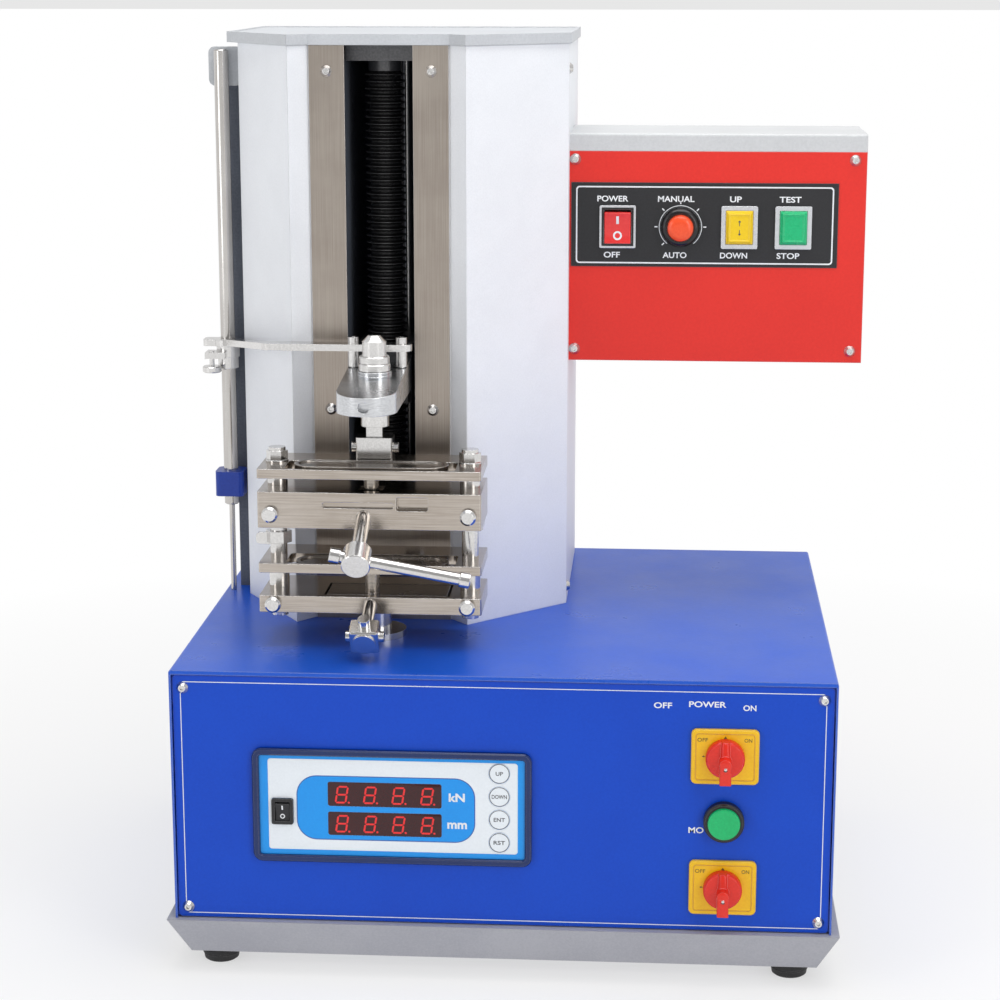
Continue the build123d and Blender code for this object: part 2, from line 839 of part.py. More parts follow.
def lower_grip_block():
    low = deck + lower_block_z
    high = low + lower_block_height
    body = grip_plate(low, lower_block_height)
    body = body - block((low_pocket_left, low_pocket_right), (low_pocket_front, pocket_back),
                        (low + pocket_floor, high + 1))
    for hole in post_holes((low - 1, high + 1), seat_fit):
        body = body - hole
    body = body - shaft(lower_clamp_mouth, clamp_out, (-16, 5), lower_neck_radius + running_fit)
    body = body - shaft(lower_clamp_mouth, clamp_out, (-lower_shoulder - 0.2, 5),
                        lower_screw_radius + running_fit)
    for side in (-1, 1):
        place = Vector(axis_x + side * post_spread, grip_front + 9, low + lower_block_height / 2)
        body = body - shaft(place, Vector(0, -1, 0), (0, 12), 3 + seat_fit)
    return body


def jaw(x, y, z, plate_low, proud):
    """A clamp jaw: a slab in the block's pocket, a pin, and a round-ended bar in the plate's window."""
    slab = block(x, y, z)
    pin = post(axis_x, pin_y, (z[1] - 1, plate_low + 2), pin_radius)
    width = jaw_bar_back - jaw_bar_front
    bar_z = (plate_low + 0.5, plate_low + thin_plate + proud)
    middle = (jaw_bar_front + jaw_bar_back) / 2
    bar = Pos(axis_x, middle, bar_z[0]) * extrude(SlotOverall(2 * jaw_bar_half, width), bar_z[1] - bar_z[0])
    groove = Pos(axis_x, middle, bar_z[1] - jaw_groove) * extrude(
        SlotOverall(2 * jaw_bar_half - 6, width - 6), 2 * jaw_groove)
    return slab + pin + bar - groove


def upper_jaw():
    low = deck + upper_block_z
    body = jaw((axis_x - jaw_half, axis_x + jaw_half), (jaw_front, pocket_back - jaw_gap),
               (low + jaw_gap, low + upper_block_height - pocket_skin - 0.8), deck + upper_plate_z,
               jaw_bar_proud)
    return body - shaft(upper_clamp_mouth, clamp_out, (-clamp_tip - jaw_travel - 0.1, 5),
                        upper_screw_radius + running_fit)


def lower_jaw():
    low = deck + lower_block_z
    body = jaw((low_pocket_left + jaw_gap, low_pocket_right - jaw_gap), (low_jaw_front, pocket_back - jaw_gap),
               (low + pocket_floor + 1.2, low + lower_block_height), deck + lower_plate_z, low_bar_proud)
    return body - shaft(lower_clamp_mouth, clamp_out, (-lower_tip_end - jaw_travel - 0.1, 5),
                        lower_tip_radius + running_fit)


def upper_clamp_screw():
    screw = shaft(upper_clamp_mouth, clamp_out, (-clamp_tip, knuckle_start + 1), upper_screw_radius)
    knuckle = shaft(upper_clamp_mouth, clamp_out, (knuckle_start, knuckle_end), knuckle_radius)
    knuckle = chamfer(knuckle.edges().filter_by(GeomType.CIRCLE), 0.6)
    bore = shaft(knuckle_centre, tommy_way, (-knuckle_radius - 3, knuckle_radius + 3),
                 tommy_radius + running_fit)
    return screw + knuckle - bore


def tommy_bar():
    bar = shaft(knuckle_centre, tommy_way, (-tommy_left, tommy_right), tommy_radius)
    left = shaft(knuckle_centre, tommy_way, (-tommy_left, tommy_cap_length - tommy_left), tommy_cap_radius)
    right = shaft(knuckle_centre, tommy_way, (tommy_right - tommy_cap_length, tommy_right), tommy_cap_radius)
    left = chamfer(left.edges().filter_by(GeomType.CIRCLE), 0.6)
    right = chamfer(right.edges().filter_by(GeomType.CIRCLE), 0.6)
    return bar + left + right


def lower_clamp_screw():
    screw = shaft(lower_clamp_mouth, clamp_out, (-lower_shoulder, head_end), lower_screw_radius)
    screw = screw + shaft(lower_clamp_mouth, clamp_out, (-lower_neck_end, 0), lower_neck_radius)
    screw = screw + shaft(lower_clamp_mouth, clamp_out, (-lower_tip_end, 0), lower_tip_radius)
    seat = Plane(origin=lower_clamp_mouth + clamp_out * ((head_start + head_end) / 2), x_dir=Vector(1, 0, 0),
                 z_dir=clamp_out)
    head = seat * Box(head_width, head_height, head_end - head_start)
    head = chamfer(head.edges(), 1.2)
    disc = shaft(lower_clamp_mouth, clamp_out, (head_end - 1, head_end + 1.5), head_disc_radius)
    middle = lower_clamp_mouth + clamp_out * ((head_start + head_end) / 2)
    pin = shaft(middle, Vector(1, 0, 0), (-head_pin_half, head_pin_half), head_pin_radius)
    stud = shaft(middle, clamp_up, (0, head_stud_reach), head_stud_radius)
    return screw + head + disc + pin + stud


def grip_nut(x, z):
    nut = hex_nut(x, post_y, (z + washer_thickness, z + washer_thickness + grip_nut_height), nut_flats)
    return nut + post(x, post_y, (z, z + washer_thickness), washer_radius)


def front_bolt(place):
    forward = Vector(0, -1, 0)
    head = shaft(place, forward, (0, front_bolt_height), front_bolt_radius)
    head = chamfer(head.edges().filter_by(GeomType.CIRCLE).group_by(Axis.Y)[0], 1.6)
    return head + shaft(place, forward, (-8, 0), 3)


def upper_grip_studs():
    pieces = []
    top = deck + upper_plate_z + thin_plate
    low = deck + upper_block_z + upper_block_height
    wiper_top = deck + upper_block_z
    for side in (-1, 1):
        x = axis_x + side * post_spread
        stud = post(x, post_y, (low - 8, top + washer_thickness + grip_nut_height + 2.5), post_radius)
        nut = grip_nut(x, top) - post(x, post_y, (top - 1, top + 20), post_radius + seat_fit)
        sleeve = post(x, post_y, (low, deck + upper_plate_z), washer_radius - 1)
        sleeve = sleeve - post(x, post_y, (low - 1, top), post_radius + seat_fit)
        reach = wiper_size / 2
        wiper = block((x - reach, x + reach), (post_y - reach, post_y + reach),
                      (wiper_top - wiper_thickness, wiper_top))
        wiper = wiper - post(x, post_y, (wiper_top - 9, wiper_top + 1), post_radius + running_fit)
        bolt = front_bolt(Vector(axis_x + side * front_bolt_spread, grip_front, deck + 102))
        pieces += [stud, nut, sleeve, wiper, bolt]
    return pieces


def guide_posts():
    pieces = []
    low = deck + lower_block_z
    for side in (-1, 1):
        x = axis_x + side * post_spread
        pillar = post(x, post_y, (low - grip_nut_height - 2.5, deck + guide_post_top), post_radius)
        pillar = chamfer(pillar.edges().filter_by(GeomType.CIRCLE).group_by(Axis.Z)[-1], 1)
        nut = hex_nut(x, post_y, (low - grip_nut_height, low), nut_flats)
        nut = nut - post(x, post_y, (low - 20, low + 1), post_radius + seat_fit)
        sleeve_z = (low + lower_block_height, deck + lower_plate_z)
        sleeve = post(x, post_y, sleeve_z, washer_radius - 1)
        sleeve = sleeve - post(x, post_y, (sleeve_z[0] - 1, sleeve_z[1] + 1), post_radius + seat_fit)
        bolt = front_bolt(Vector(x, grip_front, low + lower_block_height / 2))
        pieces += [pillar, nut, sleeve, bolt]
    return pieces


def wing_nut():
    x = axis_x - post_spread
    z = (deck + wing_z, deck + wing_z + wing_height)
    hub = hex_nut(x, post_y, z, nut_flats + 3)
    wing = block((x - wing_reach, x), (post_y - 1.6, post_y + 1.6), (z[0] - 2, z[1] - 2))
    wing = fillet(wing.edges().filter_by(Axis.Y).group_by(Axis.X)[0], 3)
    return hub + wing - post(x, post_y, (z[0] - 5, z[1] + 1), post_radius + running_fit)


def grip_stand():
    top = deck + lower_block_z
    stem = post(axis_x, load_y, (deck, top), stand_radius)
    foot = post(axis_x, load_y, (deck, deck + stand_flange), stand_flange_radius)
    head = post(axis_x, load_y, (top - stand_flange, top), stand_flange_radius - 6)
    return stem + foot + head


# Front panel controls

def meter_bezel():
    y = (-bezel_height, 0)
    z = (deck - meter_bottom, deck - meter_top)
    ring = front_plate((meter_left, meter_right), y, z, bezel_corner)
    opening = front_plate((meter_left + bezel_width, meter_right - bezel_width), (y[0] - 1, 1),
                          (z[0] + bezel_width, z[1] - bezel_width), 2)
    ring = ring - opening
    return chamfer(ring.faces().sort_by(Axis.Y)[0].edges(), 1)


def key_drops():
    return [key_drop + number * key_pitch for number in range(4)]


def meter_face():
    gap = bezel_width + seat_fit
    face = front_plate((meter_left + gap, meter_right - gap), (-face_thickness, 0),
                       (deck - meter_bottom + gap, deck - meter_top - gap), 2)
    for top in display_tops:
        y = (-face_thickness - 1, window_recess - face_thickness)
        face = face - block((window_left, window_right), y,
                            (deck - top - display_height, deck - top))
    for drop in key_drops():
        face = face - shaft(Vector(key_x, 1, deck - drop), Vector(0, -1, 0), (0, 4), key_radius + running_fit)
    half_x = mini_width / 2 - 1
    half_z = mini_height / 2 - 1
    return face - block((mini_x - half_x, mini_x + half_x), (-3, 1),
                        (deck - mini_drop - half_z, deck - mini_drop + half_z))


def key(number):
    drop = key_drops()[number]
    back = Vector(key_x, -face_thickness - key_proud, deck - drop)
    cap = shaft(back, Vector(0, 1, 0), (0, face_thickness + key_proud - key_travel - 0.1), key_radius)
    return chamfer(cap.faces().sort_by(Axis.Y)[0].edges(), 0.3)


def rocker(x, z, y, width, height, proud, tilt):
    """A rocker with a hollow V front, pivoted on X at (y, z) and resting with one end pressed in."""
    half = height / 2
    outline = Plane.YZ * Polyline((-proud, half), (-proud * 0.45, 0), (-proud, -half), (proud, -half + 0.8),
                                  (proud * 1.6, 0), (proud, half - 0.8), close=True)
    body = extrude(make_face(outline), width / 2, both=True)
    pin = Rot(0, 90, 0) * Cylinder(proud / 3, width + 2 * rocker_pin)
    return Pos(x, y, z) * Rot(tilt, 0, 0) * (body + pin)




def meter_rocker():
    return rocker(mini_x, deck - mini_drop, -face_thickness, mini_width - 2 * mini_rim - 0.4,
                  mini_height - 2 * mini_rim - 0.8, mini_proud, rocker_tilt)


def cam_switch_plates():
    plates = []
    for drop in (power_drop, motor_drop_z):
        half = cam_plate_width / 2
        tall = cam_plate_height / 2
        plate = front_plate((switch_x - half, switch_x + half), (-cam_plate_thickness, 0),
                            (deck - drop - tall, deck - drop + tall), 4)
        plate = chamfer(plate.faces().sort_by(Axis.Y)[0].edges(), 0.8)
        plates.append(plate - shaft(Vector(switch_x, 1, deck - drop), Vector(0, -1, 0), (0, 9),
                                    spindle_radius + 2))
    return plates


def switch_handle(drop):
    front = Vector(switch_x, -cam_plate_thickness - 0.3, deck - drop)
    forward = Vector(0, -1, 0)
    disc = shaft(front, forward, (0, handle_disc), handle_radius)
    disc = chamfer(disc.faces().sort_by(Axis.Y)[0].edges(), 2)
    half = handle_width / 2
    side = make_face(Plane.YZ * Polyline(
        (front.Y - 2, front.Z + handle_half),
        (front.Y - 2, front.Z - handle_half),
        (front.Y - handle_reach, front.Z - handle_half),
        (front.Y - handle_reach, front.Z),
        (front.Y - handle_disc - 2, front.Z + handle_half),
        close=True))
    bar = Pos(switch_x - half, 0, 0) * extrude(side, handle_width)
    bar = fillet(bar.edges().filter_by(Axis.X).group_by(Axis.Y)[0], 1.5)
    spindle = shaft(front, forward, (-cam_plate_thickness - 3, 1), spindle_radius)
    return disc + bar + spindle


def power_switch_handle():
    return switch_handle(power_drop)


def motor_switch_handle():
    return switch_handle(motor_drop_z)


def start_bezel():
    place = Vector(switch_x, 0, deck - start_drop)
    forward = Vector(0, -1, 0)
    ring = shaft(place, forward, (0, start_bezel_height), start_bezel_radius)
    ring = chamfer(ring.faces().sort_by(Axis.Y)[0].edges(), 1.2)
    barrel = shaft(place, forward, (-24, 0), start_barrel_radius)
    nut = shaft(place, forward, (-panel_thickness - 5, -panel_thickness), start_bezel_radius)
    contact = block((switch_x - 11, switch_x + 11), (24, 48), (place.Z - 14, place.Z + 14))
    return ring + barrel + nut + contact - shaft(place, forward, (-8, 20), start_radius - 2 + running_fit) \
        - shaft(place, forward, (start_bezel_height - 5, 20), start_radius + running_fit)


def start_button():
    place = Vector(switch_x, 0, deck - start_drop)
    forward = Vector(0, -1, 0)
    cap = shaft(place, forward, (start_bezel_height - 5 + start_travel + 0.4, start_proud), start_radius)
    cap = chamfer(cap.faces().sort_by(Axis.Y)[0].edges(), 1.2)
    stem = shaft(place, forward, (-8 + start_travel + 0.2, start_bezel_height), start_radius - 2)
    return cap + stem


def electrical_housings():
    """Black moulded bodies behind the panels, for the meter, the switches and the inlet."""
    inset = meter_case_inset
    mini_z = deck - mini_drop
    half_x = mini_width / 2
    half_z = mini_height / 2
    z = (deck - meter_bottom + inset, deck - meter_top - inset)
    case = block((meter_left + inset, meter_right - inset), (0, meter_case_depth), z)
    case = case - block((mini_x - 8, mini_x + 8), (-1, 9), (deck - mini_drop - 10, deck - mini_drop + 10))
    rim = front_plate((mini_x - half_x, mini_x + half_x), (-face_thickness - 2, -face_thickness),
                      (mini_z - half_z, mini_z + half_z), 1.5)
    wall = block((mini_x - half_x + 1.1, mini_x + half_x - 1.1), (-face_thickness, 8.8),
                 (mini_z - half_z + 1.1, mini_z + half_z - 1.1))
    well = block((mini_x - half_x + mini_rim, mini_x + half_x - mini_rim), (-9, 7),
                 (mini_z - half_z + mini_rim, mini_z + half_z - mini_rim))
    pieces = [case, rim + wall - well]
    half = cam_body_size / 2
    for drop in (power_drop, motor_drop_z):
        body = block((switch_x - half, switch_x + half), (panel_thickness, panel_thickness + cam_body_depth),
                     (deck - drop - half, deck - drop + half))
        centre = Vector(switch_x, -1, deck - drop)
        pieces.append(body - shaft(centre, Vector(0, 1, 0), (0, 8), spindle_radius + 0.1))
    y = (cover_depth - 22, cover_depth)
    wide = 14 - seat_fit
    tall = 10 - seat_fit
    inlet = block((inlet_x - wide, inlet_x + wide), y, (inlet_z - tall, inlet_z + tall))
    flange = block((inlet_x - 20, inlet_x + 20), (cover_depth, cover_depth + 2.5),
                   (inlet_z - 13, inlet_z + 13))
    socket = block((inlet_x - 11, inlet_x + 11), (cover_depth - 16, cover_depth + 3),
                   (inlet_z - 7, inlet_z + 7))
    pieces.append(inlet + flange - socket)
    inner = console_front + sheet
    for x in (rocker_x, selector_x, jog_x, test_x):
        body = block((x - 12.5, x + 12.5), (inner, inner + control_depth),
                     (control_z - 15.5, control_z + 15.5))
        cut = block((x - 10.6, x + 10.6), (inner - 1, inner + 14), (control_z - 13.1, control_z + 13.1))
        pieces.append(body - cut)
    return pieces


# Console

def console_box():
    x = (column_right, console_right)
    y = (console_front, console_front + console_depth)
    z = (console_z, console_z + console_height)
    box = block(x, y, z)
    box = box - block((x[0] + sheet, x[1] - sheet), (y[0] + sheet, y[1] - sheet), (z[0] + sheet, z[1] + 1))
    for place in (rocker_x, jog_x, test_x):
        box = box - control_cut(place, (y[0] - 1, y[0] + sheet + 1))
    hole = shaft(Vector(selector_x, y[0] - 1, control_z), Vector(0, 1, 0), (0, sheet + 2), spindle_radius + 1)
    return with_screw_holes(box - hole, panel_screw_places()[4:8])


def control_cut(x, y):
    half_x = frame_width / 2 - frame_bar
    half_z = frame_height / 2 - frame_bar
    z = control_z
    return block((x - half_x, x + half_x), y, (z - half_z, z + half_z))


def console_lid():
    x = (column_right, console_right)
    y = (console_front, console_front + console_depth)
    z = (console_z + console_height, console_z + console_height + lid_height)
    lid = block(x, y, z)
    lid = fillet(lid.edges().filter_by(Axis.X).group_by(Axis.Z)[-1], cover_edge_radius)
    return lid - block((x[0] + sheet, x[1] - sheet), (y[0] + sheet, y[1] - sheet), (z[0] - 1, z[1] - sheet))


def console_label_plate():
    y = (console_front - label_thickness, console_front)
    low = console_z + label_rise
    plate = block((label_left, label_right), y, (low, low + label_height))
    for place in (rocker_x, jog_x, test_x):
        plate = plate - control_cut(place, (y[0] - 1, y[1] + 1))
    return plate - shaft(Vector(selector_x, y[0] - 1, control_z), Vector(0, 1, 0), (0, 4), spindle_radius + 1)


def console_switch_frames():
    frames = []
    z = control_z
    y = (console_front - label_thickness - frame_proud, console_front - label_thickness)
    for x in (rocker_x, jog_x, test_x):
        frame = front_plate((x - frame_width / 2, x + frame_width / 2), y,
                            (z - frame_height / 2, z + frame_height / 2), 1.2)
        frames.append(frame - control_cut(x, (y[0] - 1, y[1] + 1)))
    return frames


def push_button(x):
    half_x = frame_width / 2 - frame_bar - 0.4
    half_z = frame_height / 2 - frame_bar - 0.4
    z = control_z
    front = console_front - label_thickness - button_proud
    cap = block((x - half_x, x + half_x), (front, console_front + 2), (z - half_z, z + half_z))
    cap = chamfer(cap.faces().sort_by(Axis.Y)[0].edges(), 1.8)
    stem = block((x - 6, x + 6), (console_front + 1, console_front + sheet + 8), (z - 8, z + 8))
    return cap + stem


def jog_button():
    return push_button(jog_x)


def test_button():
    return push_button(test_x)


def console_rocker():
    return rocker(rocker_x, control_z, console_front - label_thickness - 1.2,
                  frame_width - 2 * frame_bar - 0.8, frame_height - 2 * frame_bar - 1.6, 4, rocker_tilt)


def selector_knob():
    front = Vector(selector_x, console_front - label_thickness - 0.4, control_z)
    forward = Vector(0, -1, 0)
    skirt = shaft(front, forward, (0, skirt_height), skirt_radius)
    skirt = chamfer(skirt.faces().sort_by(Axis.Y)[0].edges(), 2.5)
    dome = shaft(front, forward, (skirt_height - 1, skirt_height + knob_height), knob_radius)
    dome = chamfer(dome.faces().sort_by(Axis.Y)[0].edges(), 3)
    spindle = shaft(front, forward, (-label_thickness - sheet - 3, 1), spindle_radius)
    return skirt + dome + spindle


nodes = {
    "base_tray": base_tray,
    "rubber_feet": rubber_feet,
    "cabinet_cover": cabinet_cover,
    "front_panel": front_panel,
    "back_panel": back_panel,
    "button_head_screws": button_head_screws,
    "column_shell": column_shell,
    "column_cap": column_cap,
    "slot_trim": slot_trim,
    "column_frame": column_frame,
    "screw_supports": screw_supports,
    "upper_bellows": upper_bellows,
    "lower_bellows": lower_bellows,
    "guide_shafts": guide_shafts,
    "drive_motor": drive_motor,
    "ball_screw": ball_screw,
    "carriage": carriage,
    "rod_bracket": rod_bracket,
    "guide_rod": guide_rod,
    "stop_collar": stop_collar,
    "guide_arm": guide_arm,
    "thumb_screw": thumb_screw,
    "crosshead_arm": crosshead_arm,
    "cap_nut": cap_nut,
    "load_shank": load_shank,
    "crosshead_fasteners": crosshead_fasteners,
    "upper_grip_plate": upper_grip_plate,
    "upper_grip_block": upper_grip_block,
    "upper_grip_studs": upper_grip_studs,
    "upper_jaw": upper_jaw,
    "upper_clamp_screw": upper_clamp_screw,
    "tommy_bar": tommy_bar,
    "lower_grip_plate": lower_grip_plate,
    "lower_grip_block": lower_grip_block,
    "guide_posts": guide_posts,
    "lower_jaw": lower_jaw,
    "lower_clamp_screw": lower_clamp_screw,
    "wing_nut": wing_nut,
    "grip_stand": grip_stand,
    "meter_bezel": meter_bezel,
    "meter_face": meter_face,
    "meter_rocker": meter_rocker,
    "key_up": lambda: key(0),
    "key_down": lambda: key(1),
    "key_enter": lambda: key(2),
    "key_reset": lambda: key(3),
    "cam_switch_plates": cam_switch_plates,
    "power_switch_handle": power_switch_handle,
    "motor_switch_handle": motor_switch_handle,
    "start_bezel": start_bezel,
    "start_button": start_button,
    "electrical_housings": electrical_housings,
    "console_box": console_box,
    "console_lid": console_lid,
    "console_label_plate": console_label_plate,
    "console_switch_frames": console_switch_frames,
    "console_rocker": console_rocker,
    "selector_knob": selector_knob,
    "jog_button": jog_button,
    "test_button": test_button,
}

# The origin: the middle of the footprint's box, on the ground
made = {name: make() for name, make in nodes.items()}
solids = {}
for name, shape in made.items():
    pieces = shape if isinstance(shape, list) else [shape]
    solids[name] = [solid for piece in pieces for solid in piece.solids()]
everything = Compound([solid for group in solids.values() for solid in group])
bounds = everything.bounding_box()
origin_x = (bounds.min.X + bounds.max.X) / 2
origin_y = (bounds.min.Y + bounds.max.Y) / 2

os.makedirs("parts", exist_ok=True)
for name, group in solids.items():
    placed = [Pos(-origin_x, -origin_y, 0) * solid for solid in group]
    node = placed[0] if len(placed) == 1 else Compound(children=placed)
    node.label = name
    export_step(node, f"parts/{name}.step")
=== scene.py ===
import math

import bmesh
import bpy
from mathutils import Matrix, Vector


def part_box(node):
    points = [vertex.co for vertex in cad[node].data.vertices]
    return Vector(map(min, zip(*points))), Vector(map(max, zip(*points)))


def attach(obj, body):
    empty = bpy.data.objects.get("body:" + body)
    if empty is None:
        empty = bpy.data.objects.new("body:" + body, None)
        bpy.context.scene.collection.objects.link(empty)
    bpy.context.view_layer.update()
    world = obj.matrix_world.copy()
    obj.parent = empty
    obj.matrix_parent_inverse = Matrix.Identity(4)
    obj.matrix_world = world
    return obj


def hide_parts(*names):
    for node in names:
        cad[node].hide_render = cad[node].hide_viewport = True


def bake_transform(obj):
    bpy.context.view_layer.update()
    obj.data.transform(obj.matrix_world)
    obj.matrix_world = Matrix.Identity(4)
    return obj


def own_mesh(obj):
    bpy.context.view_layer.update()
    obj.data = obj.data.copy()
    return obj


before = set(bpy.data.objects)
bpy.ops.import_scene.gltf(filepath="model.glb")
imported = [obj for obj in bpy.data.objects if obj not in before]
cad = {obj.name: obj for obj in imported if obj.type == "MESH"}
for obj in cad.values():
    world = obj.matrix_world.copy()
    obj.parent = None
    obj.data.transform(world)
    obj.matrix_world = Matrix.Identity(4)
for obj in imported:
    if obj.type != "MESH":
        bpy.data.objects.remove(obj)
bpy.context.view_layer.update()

# Every place below is in millimetres from the cabinet: x from the middle of its front panel,
# y back from that panel's face, and z up from the cabinet's top.
panel_low, panel_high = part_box("front_panel")
cabinet_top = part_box("cabinet_cover")[1].z


def at(x, y, z):
    middle = (panel_low.x + panel_high.x) / 2
    return Vector((middle + x / 1000, panel_low.y + y / 1000, cabinet_top + z / 1000))


# The view is the photograph's: a long lens from a little above and to the right of the cabinet,
# on a pale floor that runs out to white behind the instrument.
camera_data = bpy.data.cameras.new("view")
camera_data.lens = 86.4
camera_data.sensor_width = 36
camera_data.clip_end = 200
camera = bpy.data.objects.new("view", camera_data)
camera.location = at(113.84, -1641.94, 495.07)
camera.rotation_euler = (math.radians(77.454), 0, math.radians(3.982))
bpy.context.scene.collection.objects.link(camera)
bpy.context.scene.camera = camera
bpy.context.scene.view_settings.view_transform = "Standard"

floor_mesh = bpy.data.meshes.new("studio_floor")
floor_reach = 40
floor_corners = [(-floor_reach, -floor_reach, 0), (floor_reach, -floor_reach, 0),
                 (floor_reach, floor_reach, 0), (-floor_reach, floor_reach, 0)]
floor_mesh.from_pydata(floor_corners, [], [(0, 1, 2, 3)])
studio_floor = bpy.data.objects.new("studio_floor", floor_mesh)
bpy.context.scene.collection.objects.link(studio_floor)

floor_paint = bpy.data.materials.new("studio_floor")
floor_paint.use_nodes = True
floor_nodes = floor_paint.node_tree.nodes
floor_links = floor_paint.node_tree.links
floor_nodes.clear()
floor_place = floor_nodes.new("ShaderNodeTexCoord")
floor_distance = floor_nodes.new("ShaderNodeVectorMath")
floor_distance.operation = "LENGTH"
floor_fade = floor_nodes.new("ShaderNodeMapRange")
floor_fade.inputs["From Min"].default_value = 0.35
floor_fade.inputs["From Max"].default_value = 1.1
floor_fade.inputs["To Min"].default_value = 0.55
floor_matt = floor_nodes.new("ShaderNodeBsdfDiffuse")
floor_matt.inputs["Color"].default_value = (0.9, 0.9, 0.9, 1)
floor_glow = floor_nodes.new("ShaderNodeEmission")
floor_mix = floor_nodes.new("ShaderNodeMixShader")
floor_out = floor_nodes.new("ShaderNodeOutputMaterial")
floor_links.new(floor_place.outputs["Object"], floor_distance.inputs[0])
floor_links.new(floor_distance.outputs["Value"], floor_fade.inputs["Value"])
floor_links.new(floor_fade.outputs["Result"], floor_mix.inputs["Fac"])
floor_links.new(floor_matt.outputs["BSDF"], floor_mix.inputs[1])
floor_links.new(floor_glow.outputs["Emission"], floor_mix.inputs[2])
floor_links.new(floor_mix.outputs["Shader"], floor_out.inputs["Surface"])
floor_mesh.materials.append(floor_paint)

# The studio is a white tent with a dimmer room behind the camera, one large soft box overhead
# and two weaker ones at the sides. On matt surfaces the tent gives half of its light.
studio = bpy.data.worlds.new("studio")
bpy.context.scene.world = studio
studio.use_nodes = True
tent = studio.node_tree.nodes
tent_links = studio.node_tree.links
tent.clear()
tent_way = tent.new("ShaderNodeTexCoord")
tent_split = tent.new("ShaderNodeSeparateXYZ")
tent_room = tent.new("ShaderNodeMapRange")
tent_room.inputs["From Min"].default_value = -0.9
tent_room.inputs["From Max"].default_value = 0.1
tent_room.inputs["To Min"].default_value = 0.5
tent_path = tent.new("ShaderNodeLightPath")
tent_seen = tent.new("ShaderNodeMath")
tent_seen.operation = "MAXIMUM"
tent_level = tent.new("ShaderNodeMix")
tent_level.inputs["A"].default_value = 0.5
tent_back = tent.new("ShaderNodeBackground")
tent_out = tent.new("ShaderNodeOutputWorld")
tent_direct = tent.new("ShaderNodeMix")
tent_direct.inputs["B"].default_value = 1
tent_links.new(tent_way.outputs["Generated"], tent_split.inputs[0])
tent_links.new(tent_split.outputs["Y"], tent_room.inputs["Value"])
tent_links.new(tent_path.outputs["Is Glossy Ray"], tent_seen.inputs[0])
tent_links.new(tent_path.outputs["Is Transmission Ray"], tent_seen.inputs[1])
tent_links.new(tent_seen.outputs[0], tent_level.inputs["Factor"])
tent_links.new(tent_room.outputs["Result"], tent_level.inputs["B"])
tent_links.new(tent_path.outputs["Is Camera Ray"], tent_direct.inputs["Factor"])
tent_links.new(tent_level.outputs["Result"], tent_direct.inputs["A"])
tent_links.new(tent_direct.outputs["Result"], tent_back.inputs["Strength"])
tent_links.new(tent_back.outputs["Background"], tent_out.inputs["Surface"])


def soft_box(name, place, target, width, height, power):
    lamp = bpy.data.lights.new(name, "AREA")
    lamp.shape = "RECTANGLE"
    lamp.size = width
    lamp.size_y = height
    lamp.energy = power
    box = bpy.data.objects.new(name, lamp)
    box.location = place
    box.rotation_euler = (target - place).to_track_quat("-Z", "Y").to_euler()
    bpy.context.scene.collection.objects.link(box)


soft_box("overhead_box", at(150, 100, 1700), at(0, 200, 0), 1.6, 1.6, 24)
soft_box("right_box", at(1500, -1500, 900), at(0, 150, 150), 0.9, 1.6, 14)
soft_box("left_box", at(-1600, -1200, 700), at(0, 150, 100), 0.7, 1.4, 7)

# Folded steel tray, painted light grey, that carries the cabinet and sits on the feet. Its paint
# is the first of the finishes: a colour, a fine grain, slow mottling and lighter rounded edges.


def group_socket(group, name, way, kind="NodeSocketFloat", value=None):
    made = group.interface.new_socket(name, in_out=way, socket_type=kind)
    if value is not None:
        made.default_value = value


def grain_group():
    """Noise stretched along the work: Grain is fine and follows Stretch, Mottle is slow and even."""
    group = bpy.data.node_groups.new("grain", "ShaderNodeTree")
    group_socket(group, "Stretch", "INPUT", "NodeSocketVector", (600, 600, 600))
    group_socket(group, "Mottle Scale", "INPUT", value=18)
    group_socket(group, "Grain", "OUTPUT")
    group_socket(group, "Mottle", "OUTPUT")
    nodes = group.nodes
    enter = nodes.new("NodeGroupInput")
    leave = nodes.new("NodeGroupOutput")
    place = nodes.new("ShaderNodeTexCoord")
    stretch = nodes.new("ShaderNodeVectorMath")
    stretch.operation = "MULTIPLY"
    fine = nodes.new("ShaderNodeTexNoise")
    fine.inputs["Scale"].default_value = 1
    fine.inputs["Detail"].default_value = 3
    slow = nodes.new("ShaderNodeTexNoise")
    slow.inputs["Detail"].default_value = 4
    slow.inputs["Roughness"].default_value = 0.6
    links = group.links
    links.new(place.outputs["Object"], stretch.inputs[0])
    links.new(enter.outputs["Stretch"], stretch.inputs[1])
    links.new(stretch.outputs["Vector"], fine.inputs["Vector"])
    links.new(place.outputs["Object"], slow.inputs["Vector"])
    links.new(enter.outputs["Mottle Scale"], slow.inputs["Scale"])
    links.new(fine.outputs["Fac"], leave.inputs["Grain"])
    links.new(slow.outputs["Fac"], leave.inputs["Mottle"])
    return group


